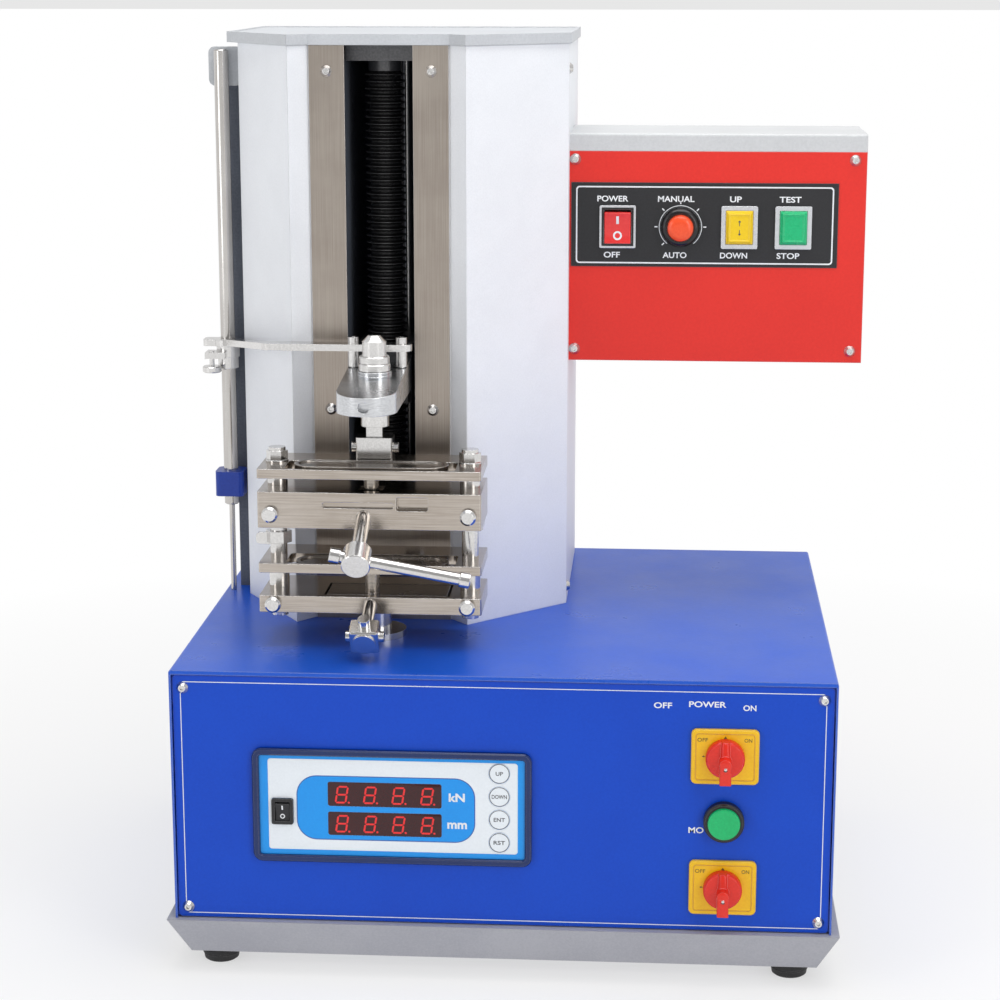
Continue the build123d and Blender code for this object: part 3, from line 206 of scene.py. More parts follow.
def soft_edge_group():
    """Rounds the look of a hard edge: Normal goes round it and Edge is 1 on it."""
    group = bpy.data.node_groups.new("soft_edge", "ShaderNodeTree")
    group_socket(group, "Radius", "INPUT", value=0.0006)
    group_socket(group, "Normal", "OUTPUT", "NodeSocketVector")
    group_socket(group, "Edge", "OUTPUT")
    nodes = group.nodes
    enter = nodes.new("NodeGroupInput")
    leave = nodes.new("NodeGroupOutput")
    rounding = nodes.new("ShaderNodeBevel")
    rounding.samples = 4
    face = nodes.new("ShaderNodeNewGeometry")
    match = nodes.new("ShaderNodeVectorMath")
    match.operation = "DOT_PRODUCT"
    turn = nodes.new("ShaderNodeMapRange")
    turn.inputs["From Min"].default_value = 0.98
    turn.inputs["From Max"].default_value = 0.8
    links = group.links
    links.new(enter.outputs["Radius"], rounding.inputs["Radius"])
    links.new(rounding.outputs["Normal"], match.inputs[0])
    links.new(face.outputs["Normal"], match.inputs[1])
    links.new(match.outputs["Value"], turn.inputs["Value"])
    links.new(rounding.outputs["Normal"], leave.inputs["Normal"])
    links.new(turn.outputs["Result"], leave.inputs["Edge"])
    return group


grain = grain_group()
soft_edge = soft_edge_group()


def surface(name, dark, light, rough, stretch=(600, 600, 600), mottle=18, bump=0.05, depth=0.0002,
            metal=0.0, specular=0.5, edge=0.0006, edge_light=0.15, glow=0.0):
    """A finish whose colour runs from dark to light with its grain.

    Its roughness wanders between rough[0] and rough[1], and its edges, rounded by edge metres, are
    lighter by edge_light: a painted highlight along the edge, and on paint wear as well.
    """
    made = bpy.data.materials.new(name)
    made.use_nodes = True
    nodes = made.node_tree.nodes
    links = made.node_tree.links
    shader = nodes["Principled BSDF"]
    shader.inputs["Metallic"].default_value = metal
    shader.inputs["Specular IOR Level"].default_value = specular
    texture = nodes.new("ShaderNodeGroup")
    texture.node_tree = grain
    texture.inputs["Stretch"].default_value = stretch
    texture.inputs["Mottle Scale"].default_value = mottle
    both = nodes.new("ShaderNodeMath")
    both.operation = "MULTIPLY_ADD"
    both.inputs[1].default_value = 0.5
    half = nodes.new("ShaderNodeMath")
    half.operation = "MULTIPLY"
    half.inputs[1].default_value = 0.5
    tone = nodes.new("ShaderNodeValToRGB")
    tone.color_ramp.elements[0].position = 0.38
    tone.color_ramp.elements[0].color = (*dark, 1)
    tone.color_ramp.elements[1].position = 0.62
    tone.color_ramp.elements[1].color = (*light, 1)
    # The rounded edges are painted lighter: a painted highlight, and on paint also wear.
    edge_wear_and_highlight = nodes.new("ShaderNodeMix")
    edge_wear_and_highlight.data_type = "RGBA"
    edge_wear_and_highlight.inputs["B"].default_value = (*[min(1, c + edge_light * (1.05 - c)) for c in light], 1)
    gloss = nodes.new("ShaderNodeMapRange")
    gloss.inputs["From Min"].default_value = 0.3
    gloss.inputs["From Max"].default_value = 0.7
    gloss.inputs["To Min"].default_value = rough[0]
    gloss.inputs["To Max"].default_value = rough[1]
    rounding = nodes.new("ShaderNodeGroup")
    rounding.node_tree = soft_edge
    rounding.inputs["Radius"].default_value = edge
    relief = nodes.new("ShaderNodeBump")
    relief.inputs["Strength"].default_value = bump
    relief.inputs["Distance"].default_value = depth
    links.new(texture.outputs["Mottle"], half.inputs[0])
    links.new(texture.outputs["Grain"], both.inputs[0])
    links.new(half.outputs[0], both.inputs[2])
    links.new(both.outputs[0], tone.inputs["Fac"])
    links.new(tone.outputs["Color"], edge_wear_and_highlight.inputs["A"])
    links.new(rounding.outputs["Edge"], edge_wear_and_highlight.inputs["Factor"])
    links.new(edge_wear_and_highlight.outputs["Result"], shader.inputs["Base Color"])
    links.new(texture.outputs["Mottle"], gloss.inputs["Value"])
    links.new(gloss.outputs["Result"], shader.inputs["Roughness"])
    links.new(texture.outputs["Grain"], relief.inputs["Height"])
    links.new(rounding.outputs["Normal"], relief.inputs["Normal"])
    links.new(relief.outputs["Normal"], shader.inputs["Normal"])
    if glow:
        links.new(tone.outputs["Color"], shader.inputs["Emission Color"])
        shader.inputs["Emission Strength"].default_value = glow
    return made


def dress(node, made):
    for place in cad[node].material_slots:
        place.material = made


tray_paint = surface("tray_paint", (0.35, 0.355, 0.40), (0.41, 0.415, 0.455), (0.42, 0.55), edge=0.0012)
dress("base_tray", tray_paint)

# Four moulded rubber feet, screwed up into the tray, with a rounded tread and a waist.
foot_rubber = surface("foot_rubber", (0.010, 0.010, 0.011), (0.022, 0.022, 0.024), (0.55, 0.75), bump=0.2)


def turned(name, start, way, profile, steps=48):
    """A piece turned about the line from start along way; profile is (radius, reach) in millimetres."""
    way = way.normalized()
    side = way.orthogonal().normalized()
    other = way.cross(side)
    mesh = bmesh.new()
    rings = []
    for radius, reach in profile:
        centre = start + way * reach / 1000
        if radius == 0:
            rings.append([mesh.verts.new(centre)])
            continue
        ring = []
        for number in range(steps):
            angle = 2 * math.pi * number / steps
            spoke = side * math.cos(angle) + other * math.sin(angle)
            ring.append(mesh.verts.new(centre + spoke * radius / 1000))
        rings.append(ring)
    for low, high in zip(rings, rings[1:]):
        for number in range(steps):
            after = (number + 1) % steps
            corners = [low[number % len(low)], low[after % len(low)],
                       high[after % len(high)], high[number % len(high)]]
            corners = list(dict.fromkeys(corners))
            if len(corners) > 2:
                mesh.faces.new(corners)
    return piece(name, mesh)


def piece(name, mesh, crease=32):
    """Turns a bmesh into a shown object with smooth faces and sharp creases."""
    bmesh.ops.recalc_face_normals(mesh, faces=mesh.faces)
    data = bpy.data.meshes.new(name)
    mesh.to_mesh(data)
    mesh.free()
    data.polygons.foreach_set("use_smooth", [True] * len(data.polygons))
    data.set_sharp_from_angle(angle=math.radians(crease))
    made = bpy.data.objects.new(name, data)
    bpy.context.scene.collection.objects.link(made)
    return made


def joined(name, parts):
    """Several made pieces as one mesh."""
    for other in parts[1:]:
        whole = bmesh.new()
        whole.from_mesh(parts[0].data)
        whole.from_mesh(other.data)
        whole.to_mesh(parts[0].data)
        whole.free()
        bpy.data.objects.remove(other)
    parts[0].name = name
    return parts[0]


def settle(made, body, finish, slot, *nodes):
    """Gives a piece its finish and its body, and hides the nodes that it stands for; slot is not used."""
    made.data.materials.clear()
    made.data.materials.append(finish)
    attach(made, body)
    if nodes:
        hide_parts(*nodes)


def islands(node):
    """The low and high corners of each separate solid of a CAD node."""
    mesh = bmesh.new()
    mesh.from_mesh(cad[node].data)
    bmesh.ops.remove_doubles(mesh, verts=mesh.verts, dist=0.000005)
    left = set(mesh.verts)
    found = []
    while left:
        reach = [left.pop()]
        members = []
        while reach:
            point = reach.pop()
            members.append(point.co.copy())
            for line in point.link_edges:
                other = line.other_vert(point)
                if other in left:
                    left.remove(other)
                    reach.append(other)
        low = Vector([min(p[k] for p in members) for k in range(3)])
        high = Vector([max(p[k] for p in members) for k in range(3)])
        found.append((low, high))
    mesh.free()
    return found


foot_profile = [(0, 0.6), (6, 0.6), (6.6, 0), (11.6, 0), (12.8, 0.9), (13.3, 4.2), (13.9, 5.0), (13.9, 5.6),
                (13.6, 6.2), (14.5, 11.2), (14.5, 12), (0, 12)]
feet = []
for low, high in islands("rubber_feet"):
    middle = (low + high) / 2
    feet.append(turned("foot", Vector((middle.x, middle.y, low.z)), Vector((0, 0, 1)), foot_profile))
settle(joined("moulded_feet", feet), "base", foot_rubber, "foot_rubber", "rubber_feet")

# Cabinet cover and back panel: folded steel with a glossy blue baked paint that has a fine
# orange peel, and the front panel, a flat plate in the same blue, set inside the cover's hem.
# The cover's blue is painted lighter than the panel's: painted light for the light that falls on its top.
cover_paint_with_painted_light = surface("cover_paint_with_painted_light", (0.004, 0.086, 0.56), (0.008, 0.098, 0.61), (0.26, 0.36),
                      stretch=(330, 330, 330), bump=0.12, depth=0.0004, specular=0.35, edge=0.0015,
                      edge_light=0.25)
panel_paint = surface("panel_paint", (0.0, 0.058, 0.53), (0.001, 0.066, 0.57), (0.3, 0.4),
                      stretch=(500, 500, 500), bump=0.05, specular=0.3, edge=0.001, edge_light=0.2)
dress("cabinet_cover", cover_paint_with_painted_light)
dress("back_panel", cover_paint_with_painted_light)
dress("front_panel", panel_paint)

# Stainless button-head screws with a hexagon socket hold the panels, the console's front
# and the column's steel strips.
bright_steel = surface("bright_steel", (0.62, 0.61, 0.60), (0.74, 0.73, 0.72), (0.14, 0.24), metal=1.0,
                       stretch=(900, 900, 900), bump=0.02, edge=0.0004, edge_light=0.3)
dress("button_head_screws", bright_steel)

# The thin line round the front panel and the captions over its switches are screen printed in
# white. The ink stands a tenth of a millimetre proud.
print_white = surface("print_white", (0.80, 0.82, 0.85), (0.86, 0.88, 0.90), (0.5, 0.6), bump=0.02,
                      edge=0.0001)
print_depth = 0.09


def rounded(left, right, low, high, corner, steps=8):
    """The outline of a rounded rectangle in x and z."""
    points = []
    for x, z, start in ((right - corner, high - corner, 0), (left + corner, high - corner, 90),
                        (left + corner, low + corner, 180), (right - corner, low + corner, 270)):
        for step in range(steps + 1):
            angle = math.radians(start + 90 * step / steps)
            points.append((x + corner * math.cos(angle), z + corner * math.sin(angle)))
    return points


def disc(x, z, radius, steps=48):
    return [(x + radius * math.cos(2 * math.pi * n / steps), z + radius * math.sin(2 * math.pi * n / steps))
            for n in range(steps)]


def plaque(name, outline, front, back, edge=0.0, segments=2):
    """A flat piece facing the front, with its outline in x and z and a rounded front edge."""
    mesh = bmesh.new()
    face = mesh.faces.new([mesh.verts.new(at(x, back, z)) for x, z in outline])
    grown = bmesh.ops.extrude_face_region(mesh, geom=[face])
    moved = [e for e in grown["geom"] if isinstance(e, bmesh.types.BMVert)]
    bmesh.ops.translate(mesh, verts=moved, vec=Vector((0, (front - back) / 1000, 0)))
    if edge:
        rim = [e for e in mesh.edges if all(v in moved for v in e.verts)]
        bmesh.ops.bevel(mesh, geom=rim, offset=edge / 1000, segments=segments, profile=0.5, affect="EDGES")
    return piece(name, mesh)


def from_curve(name, curve):
    """A filled flat curve as a mesh, with x and y taken as the object's x and z in millimetres."""
    source = bpy.data.objects.new(name, curve)
    bpy.context.scene.collection.objects.link(source)
    graph = bpy.context.evaluated_depsgraph_get()
    data = bpy.data.meshes.new_from_object(source.evaluated_get(graph))
    bpy.data.objects.remove(source)
    return data


def pierced(name, outline, holes, front, back):
    """A flat piece facing the front with holes through it."""
    curve = bpy.data.curves.new(name, "CURVE")
    curve.dimensions = "2D"
    curve.fill_mode = "BOTH"
    curve.extrude = 1
    for line in [outline] + holes:
        run = curve.splines.new("POLY")
        run.points.add(len(line) - 1)
        for point, (x, z) in zip(run.points, line):
            point.co = (x, z, 0, 1)
        run.use_cyclic_u = True
    data = from_curve(name, curve)
    for point in data.vertices:
        point.co = at(point.co.x, front if point.co.z > 0 else back, point.co.y)
    made = bpy.data.objects.new(name, data)
    bpy.context.scene.collection.objects.link(made)
    return made


def band(name, outer, inner, front, back):
    """A flat ring between two outlines with as many points each."""
    mesh = bmesh.new()
    loops = [[mesh.verts.new(at(x, y, z)) for x, z in line]
             for line, y in ((outer, front), (inner, front), (inner, back), (outer, back))]
    for one, two in zip(loops, loops[1:] + loops[:1]):
        for number in range(len(one)):
            after = (number + 1) % len(one)
            mesh.faces.new([one[number], one[after], two[after], two[number]])
    return piece(name, mesh)


def caption(name, words, left, right, low, high, front, weight=0.022):
    """Raised ink lettering that fills a rectangle on a front face."""
    text = bpy.data.curves.new(name, "FONT")
    text.body = words
    text.offset = weight
    text.extrude = 0.02
    text.resolution_u = 4
    data = from_curve(name, text)
    xs = [v.co.x for v in data.vertices]
    zs = [v.co.y for v in data.vertices]
    wide = (right - left) / (max(xs) - min(xs))
    tall = (high - low) / (max(zs) - min(zs))
    for point in data.vertices:
        x = left + (point.co.x - min(xs)) * wide
        z = low + (point.co.y - min(zs)) * tall
        y = front - print_depth if point.co.z > 0 else front
        point.co = at(x, y, z)
    made = bpy.data.objects.new(name, data)
    bpy.context.scene.collection.objects.link(made)
    return made


border_side = 232
border_low = -186
border_high = -9
border_half = 0.3
border = band("panel_border",
              rounded(-border_side - border_half, border_side + border_half,
                      border_low - border_half, border_high + border_half, 3),
              rounded(-border_side + border_half, border_side - border_half,
                      border_low + border_half, border_high - border_half, 2.5),
              -print_depth, 0)
panel_captions = [
    ("off_caption", "OFF", 109.5, 122.5, -21.5, -17.1),
    ("power_caption", "POWER", 134.5, 161, -20.2, -15.8),
    ("on_caption", "ON", 173, 182.3, -22.3, -18),
    ("start_caption", "START", 137, 159.3, -73, -68.5),
    ("motor_caption", "MOTOR", 135.6, 161.5, -115, -110.4),
]
panel_words = [border] + [caption(*row, front=0) for row in panel_captions]
settle(joined("panel_printing", panel_words), "base", print_white, "label_black")

# Column: bent sheet steel, white powder coated, with angled front facets beside the slot,
# a grey lid with a thin lighter rim, and the frame seen down the slot, whose dark bluish grey is
# painted shade for the deep shade inside the slot.
powder_white = surface("powder_white", (0.80, 0.82, 0.86), (0.86, 0.88, 0.92), (0.45, 0.55),
                       stretch=(900, 900, 900), bump=0.12, depth=0.0003, edge=0.0015, edge_light=0.2)
cap_paint = surface("cap_paint", (0.50, 0.52, 0.55), (0.57, 0.59, 0.62), (0.4, 0.5), edge=0.0012)
# The frame's dark colour is painted shade: the shade that lies down the slot.
frame_painted_shade = surface("frame_painted_shade", (0.07, 0.08, 0.105), (0.11, 0.125, 0.16), (0.45, 0.6))
dark_steel = surface("dark_steel", (0.09, 0.09, 0.095), (0.15, 0.15, 0.155), (0.3, 0.42), metal=0.8)
dress("column_shell", powder_white)
dress("column_cap", cap_paint)
dress("column_frame", frame_painted_shade)
dress("screw_supports", dark_steel)

# Two stainless strips cover the facets' folds along the slot, brushed from top to bottom.
strip_steel = surface("strip_steel", (0.36, 0.31, 0.27), (0.46, 0.41, 0.36), (0.28, 0.4), metal=1.0,
                      stretch=(1400, 1400, 14), bump=0.05, edge=0.0008, edge_light=0.35)
dress("slot_trim", strip_steel)

# Ball screw under two moulded rubber bellows, between a motor and a bearing block. The bellows
# are one long run of fine folds each, built at one length; on the machine the carriage between
# them pushes them together.
bellows_rubber = surface("bellows_rubber", (0.004, 0.004, 0.004), (0.010, 0.010, 0.011), (0.2, 0.3))
fold_pitch = 5.3


def bellows(name, node):
    """A run of round-crested folds that fills a bellows node's box, five millimetres deep."""
    low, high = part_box(node)
    length = (high.z - low.z) * 1000
    crest = (high.x - low.x) * 500
    folds = round(length / fold_pitch)
    profile = [(crest - 5, 0)]
    for number in range(folds):
        for radius, share in ((crest - 3.6, 0), (crest - 3.2, 0.16), (crest - 0.3, 0.42), (crest, 0.5),
                              (crest - 0.3, 0.58), (crest - 3.2, 0.84)):
            profile.append((radius, (number + share) * length / folds))
    profile += [(crest - 3.6, length), (crest - 5, length), (crest - 5, 0)]
    foot = Vector(((low.x + high.x) / 2, (low.y + high.y) / 2, low.z))
    return turned(name, foot, Vector((0, 0, 1)), profile, 40)


upper = bellows("upper_bellows_folds", "upper_bellows")
settle(upper, "base", bellows_rubber, "bellows_rubber", "upper_bellows")
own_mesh(upper)

lower = bellows("lower_bellows_folds", "lower_bellows")
lower.data.materials.append(bellows_rubber)
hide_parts("lower_bellows")
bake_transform(lower)

# Inside the slot: the hardened shafts, the screw, the motor under the deck, and the carriage, a
# black anodised block that runs on the shafts and carries the crosshead.
carriage_black = surface("carriage_black", (0.012, 0.012, 0.013), (0.025, 0.025, 0.027), (0.35, 0.5))
dress("guide_shafts", bright_steel)
dress("ball_screw", dark_steel)
dress("drive_motor", carriage_black)
dress("carriage", carriage_black)

# Guide rod of hard chromed steel at the column's left, in a bracket under the lid, with a
# blue plastic stop collar clamped on it.
rod_chrome = surface("rod_chrome", (0.50, 0.48, 0.46), (0.60, 0.58, 0.56), (0.10, 0.18), metal=1.0,
                     stretch=(300, 300, 20), bump=0.01)
collar_blue = surface("collar_blue", (0.0, 0.030, 0.30), (0.002, 0.042, 0.36), (0.25, 0.35))
dress("guide_rod", rod_chrome)
dress("rod_bracket", cap_paint)
dress("stop_collar", collar_blue)

# Crosshead: a milled aluminium arm through the slot, with the load shank and its cap nut on top.
arm_aluminium = surface("arm_aluminium", (0.55, 0.56, 0.58), (0.68, 0.69, 0.71), (0.2, 0.32), metal=1.0,
                        stretch=(60, 900, 900), bump=0.03, edge=0.0008, edge_light=0.4)
dress("crosshead_arm", arm_aluminium)
dress("guide_arm", bright_steel)
dress("thumb_screw", bright_steel)
dress("cap_nut", bright_steel)
dress("load_shank", bright_steel)
dress("crosshead_fasteners", bright_steel)

# Grips: ground steel plates and blocks, nickel plated, that run on the two posts. The clamp
# screws lean out of the blocks' fronts and push the jaws back.
grip_steel = surface("grip_steel", (0.42, 0.37, 0.32), (0.54, 0.49, 0.44), (0.16, 0.28), metal=1.0,
                     stretch=(25, 900, 900), bump=0.03, edge=0.0007, edge_light=0.5)
jaw_steel = surface("jaw_steel", (0.30, 0.27, 0.24), (0.40, 0.36, 0.32), (0.2, 0.32), metal=1.0,
                    stretch=(25, 900, 900), bump=0.03, edge=0.0007, edge_light=0.4)
for node in ("upper_grip_plate", "upper_grip_block", "lower_grip_plate", "lower_grip_block"):
    dress(node, grip_steel)
for node in ("upper_jaw", "lower_jaw"):
    dress(node, jaw_steel)
for node in ("upper_grip_studs", "guide_posts", "upper_clamp_screw", "tommy_bar", "lower_clamp_screw",
             "wing_nut", "grip_stand"):
    dress(node, bright_steel)

# Panel meter: a glossy blue moulded bezel round a printed plastic face, held by its case behind
# the panel. The face has a white field and a blue one, with two windows for the red displays.
bezel_blue = surface("bezel_blue", (0.0, 0.014, 0.095), (0.001, 0.02, 0.12), (0.12, 0.2), edge=0.0008)
face_azure = surface("face_azure", (0.003, 0.29, 0.84), (0.004, 0.32, 0.88), (0.35, 0.45), bump=0.01)
face_white = surface("face_white", (0.80, 0.85, 0.90), (0.84, 0.89, 0.94), (0.35, 0.45), bump=0.01)
line_blue = surface("line_blue", (0.006, 0.09, 0.42), (0.01, 0.11, 0.46), (0.35, 0.45), bump=0.01)
black_plastic = surface("black_plastic", (0.008, 0.008, 0.009), (0.016, 0.016, 0.018), (0.3, 0.42))
dress("meter_bezel", bezel_blue)
dress("meter_face", face_azure)
dress("electrical_housings", black_plastic)

face = -1.5
window_left = -125.6
window_right = -42.7
window_corner = 1.6
windows = [rounded(window_left, window_right, low, high, window_corner)
           for low, high in ((-100.3, -81.9), (-122.5, -104.7))]
key_x = -0.8
key_hole_radius = 7.7
key_drops = {"key_up": -72.8, "key_down": -90.3, "key_enter": -107.8, "key_reset": -125.3}
key_holes = [disc(key_x, z, key_hole_radius) for z in key_drops.values()]
switch_hole = rounded(-166.9, -150.9, -114.9, -95.1, 1.5)
white_field = pierced("white_field", rounded(-169.2, 12.5, -134.2, -65, 2.2),
                      windows + key_holes + [switch_hole], face - print_depth, face)
settle(white_field, "base", face_white, "face_white")
blue_field = pierced("blue_field", rounded(-148.1, -18.7, -125.9, -77.6, 14.5, 12), windows,
                     face - 1.6 * print_depth, face)
settle(blue_field, "base", face_azure, "face_white")
blue_line = band("blue_field_line", rounded(-148.5, -18.3, -126.3, -77.2, 14.9, 12),
                 rounded(-147.8, -19.0, -125.6, -77.9, 14.2, 12), face - 2 * print_depth, face)
settle(blue_line, "base", line_blue, "face_white")
unit_words = [
    caption("force_unit", "kN", -37.5, -25.8, -95.0, -88.6, face - 1.6 * print_depth, 0.03),
    caption("travel_unit", "mm", -38.6, -24.3, -115.6, -110.8, face - 1.6 * print_depth, 0.03),
]
settle(joined("unit_printing", unit_words), "base", print_white, "face_white")

# Seven-segment displays behind dark red windows, four slanted figures each with its point.
window_red = surface("window_red", (0.030, 0.0015, 0.003), (0.045, 0.002, 0.004), (0.08, 0.14), bump=0.0)
segment_red = surface("segment_red", (0.62, 0.012, 0.014), (0.70, 0.016, 0.018), (0.3, 0.4), bump=0.0,
                      glow=0.35)
glass = face - 2.4 * print_depth
panes = [plaque("pane", line, glass, face + 0.5, 0.25) for line in windows]
settle(joined("display_windows", panes), "base", window_red, "face_white")


def figure(x, z):
    """The outlines of one slanted figure eight and its point, from its lower left corner."""
    wide, tall, thick, gap = 8.6, 13.4, 1.35, 0.22
    half = thick / 2

    def level(height):
        return [(half + gap, height), (half + gap + half, height + half),
                (wide - half - gap - half, height + half), (wide - half - gap, height),
                (wide - half - gap - half, height - half), (half + gap + half, height - half)]

    def upright(side, low, high):
        return [(side, low + gap), (side + half, low + gap + half), (side + half, high - gap - half),
                (side, high - gap), (side - half, high - gap - half), (side - half, low + gap + half)]

    middle = tall / 2
    parts = [level(half), level(middle), level(tall - half)]
    for side in (half, wide - half):
        parts += [upright(side, half, middle), upright(side, middle, tall - half)]
    lines = [[(x + u + v * 0.16, z + v) for u, v in part] for part in parts]
    return lines + [disc(x + wide + 1.9, z + 0.75, 0.8, 16)]


segments = []
window_width = window_right - window_left
figure_half = 5.6
for low in (-98.2, -120.4):
    for share in (0.126, 0.374, 0.624, 0.876):
        for line in figure(window_left + window_width * share - figure_half, low):
            segments.append(plaque("segment", line, glass - 0.06, glass))
settle(joined("display_segments", segments), "base", segment_red, "face_white")

# Four round membrane keys in the white field, each with a fine grey ring and its word.
print_grey = surface("print_grey", (0.045, 0.047, 0.055), (0.075, 0.078, 0.09), (0.5, 0.6), bump=0.01,
                     edge=0.0001)
key_words = {"key_up": ("UP", 5.3), "key_down": ("DOWN", 11.0),
             "key_enter": ("ENT", 8.2), "key_reset": ("RST", 8.4)}
key_front = face - 0.6
key_ink = 0.06
for key, z in key_drops.items():
    word, wide = key_words[key]
    dress(key, face_white)
    ring = band("ring", disc(key_x, z, 7.3), disc(key_x, z, 6.85), key_front - key_ink, key_front)
    name = caption("word", word, key_x - wide / 2, key_x + wide / 2, z - 1.5, z + 1.5, key_front, 0.015)
    for point in name.data.vertices:
        if point.co.y < at(0, key_front, 0).y - 0.00003:
            point.co.y = at(0, key_front - key_ink, 0).y
    settle(joined(key + "_print", [ring, name]), key, print_grey, "face_white")

# Moulded rocker switches: a black one for the meter and a red one on the console. Each rocker
# has a hollowed front, rests with one end pressed in, and is marked I and O in white.


def wedge(name, corners, edge, segments=3):
    """A solid on eight corners, the lower four and then the upper four, with rounded edges."""
    mesh = bmesh.new()
    points = [mesh.verts.new(at(*corner)) for corner in corners]
    for face_points in ((3, 2, 1, 0), (4, 5, 6, 7), (0, 1, 5, 4), (1, 2, 6, 5), (2, 3, 7, 6), (3, 0, 4, 7)):
        mesh.faces.new([points[number] for number in face_points])
    bmesh.ops.recalc_face_normals(mesh, faces=mesh.faces)
    bmesh.ops.bevel(mesh, geom=list(mesh.edges), offset=edge / 1000, segments=segments, profile=0.5,
                    affect="EDGES", clamp_overlap=True)
    return piece(name, mesh)


def rocker(name, node, pivot, width, height, proud, tilt, body, finish, slot):
    """A hollow-fronted rocker at its node's middle, tilted in degrees about a line at depth pivot."""
    low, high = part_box(node)
    middle = (low + high) / 2
    x = (middle.x - at(0, 0, 0).x) * 1000
    z = (middle.z - at(0, 0, 0).z) * 1000
    lean = math.radians(tilt)
    half = height / 2

    def turned_point(u, v, w):
        back = v * math.cos(lean) - w * math.sin(lean)
        rise = v * math.sin(lean) + w * math.cos(lean)
        return x + u, pivot + back, z + rise

    def front(share):
        return -proud * (0.45 + 0.55 * share * share)

    mesh = bmesh.new()
    steps = 12
    rows = []
    for side in (-width / 2, width / 2):
        line = []
        for step in range(steps + 1):
            share = 2 * step / steps - 1
            line.append((side, front(share), -half * share))
        line += [(side, proud, -half + 0.8), (side, proud * 1.5, 0), (side, proud, half - 0.8)]
        rows.append([mesh.verts.new(at(*turned_point(*point))) for point in line])
    mesh.faces.new(rows[0])
    mesh.faces.new(list(reversed(rows[1])))
    for number in range(len(rows[0])):
        after = (number + 1) % len(rows[0])
        mesh.faces.new([rows[0][number], rows[1][number], rows[1][after], rows[0][after]])
    bmesh.ops.recalc_face_normals(mesh, faces=mesh.faces)
    rim = [e for e in mesh.edges if e.calc_face_angle(0) > math.radians(40)]
    bmesh.ops.bevel(mesh, geom=rim, offset=proud * 0.00016, segments=3, profile=0.5, affect="EDGES")
    settle(piece(name, mesh), body, finish, slot, node)
    mark = half * 0.5
    bar_half = width * 0.05
    bar_reach = height * 0.13
    mark_depth = 0.05
    bar = plaque("bar", [(-bar_half, mark - bar_reach), (bar_half, mark - bar_reach),
                         (bar_half, mark + bar_reach), (-bar_half, mark + bar_reach)],
                 -mark_depth, mark_depth)
    ring = band("ring", disc(0, -mark, width * 0.17, 24), disc(0, -mark, width * 0.1, 24),
                -mark_depth, mark_depth)
    whole = joined(name + "_marks", [bar, ring])
    for point in whole.data.vertices:
        u = (point.co.x - at(0, 0, 0).x) * 1000
        w = (point.co.z - at(0, 0, 0).z) * 1000
        v = (point.co.y - at(0, 0, 0).y) * 1000
        point.co = at(*turned_point(u, front(w / half) + v, w))
    settle(whole, body, print_white, slot)


rocker_tilt = 8
rocker("mini_rocker", "meter_rocker", face, 10.6, 13.9, 2, rocker_tilt, "meter_rocker", black_plastic,
       "black_plastic")

# Rotary cam switches: square yellow plates with a raised inner line, and red handles with a
# round skirt and a bar that stands out below. Between them is a green start button.
plate_yellow = surface("plate_yellow", (0.86, 0.50, 0.0), (0.92, 0.56, 0.003), (0.3, 0.4))
line_yellow = surface("line_yellow", (0.70, 0.36, 0.0), (0.76, 0.40, 0.002), (0.3, 0.4))
handle_red = surface("handle_red", (0.72, 0.020, 0.008), (0.80, 0.027, 0.012), (0.22, 0.32))
button_green = surface("button_green", (0.0, 0.44, 0.13), (0.003, 0.52, 0.16), (0.16, 0.24))
olive_print = surface("olive_print", (0.14, 0.085, 0.008), (0.18, 0.11, 0.012), (0.5, 0.6), bump=0.01,
                      edge=0.0001)
dress("cam_switch_plates", plate_yellow)
dress("start_bezel", black_plastic)
forward = Vector((0, -1, 0))
switch_x = 160.8
plate_front = -3.0
handle_half = 4.2
handle_front = -22.6
handle_low = 15.5
dot_drop = 2.6


def upright_arrow(x, z):
    """The outline of a small arrow that points up, above the point x, z of a plate."""
    stem, wing = 0.45, 1.3
    return [(x - wing, z + 14), (x - stem, z + 14), (x - stem, z + 12.6), (x + stem, z + 12.6),
            (x + stem, z + 14), (x + wing, z + 14), (x, z + 15.8)]


def level_arrow(x, z):
    """The outline of a small arrow that points left, to the left of the point x, z."""
    return [(x - 16.6, z + 0.5), (x - 15.2, z + 1.3), (x - 15.2, z + 0.8), (x - 14.3, z + 0.8),
            (x - 14.3, z + 0.2), (x - 15.2, z + 0.2), (x - 15.2, z - 0.3)]


def tapered(*corners):
    """Eight corners beside the switches' middle line, from four of (y, z, half width)."""
    line = []
    for near, far in (corners[:2], corners[2:]):
        line += [(switch_x - near[2], near[0], near[1]), (switch_x + near[2], near[0], near[1]),
                 (switch_x + far[2], far[0], far[1]), (switch_x - far[2], far[0], far[1])]
    return line


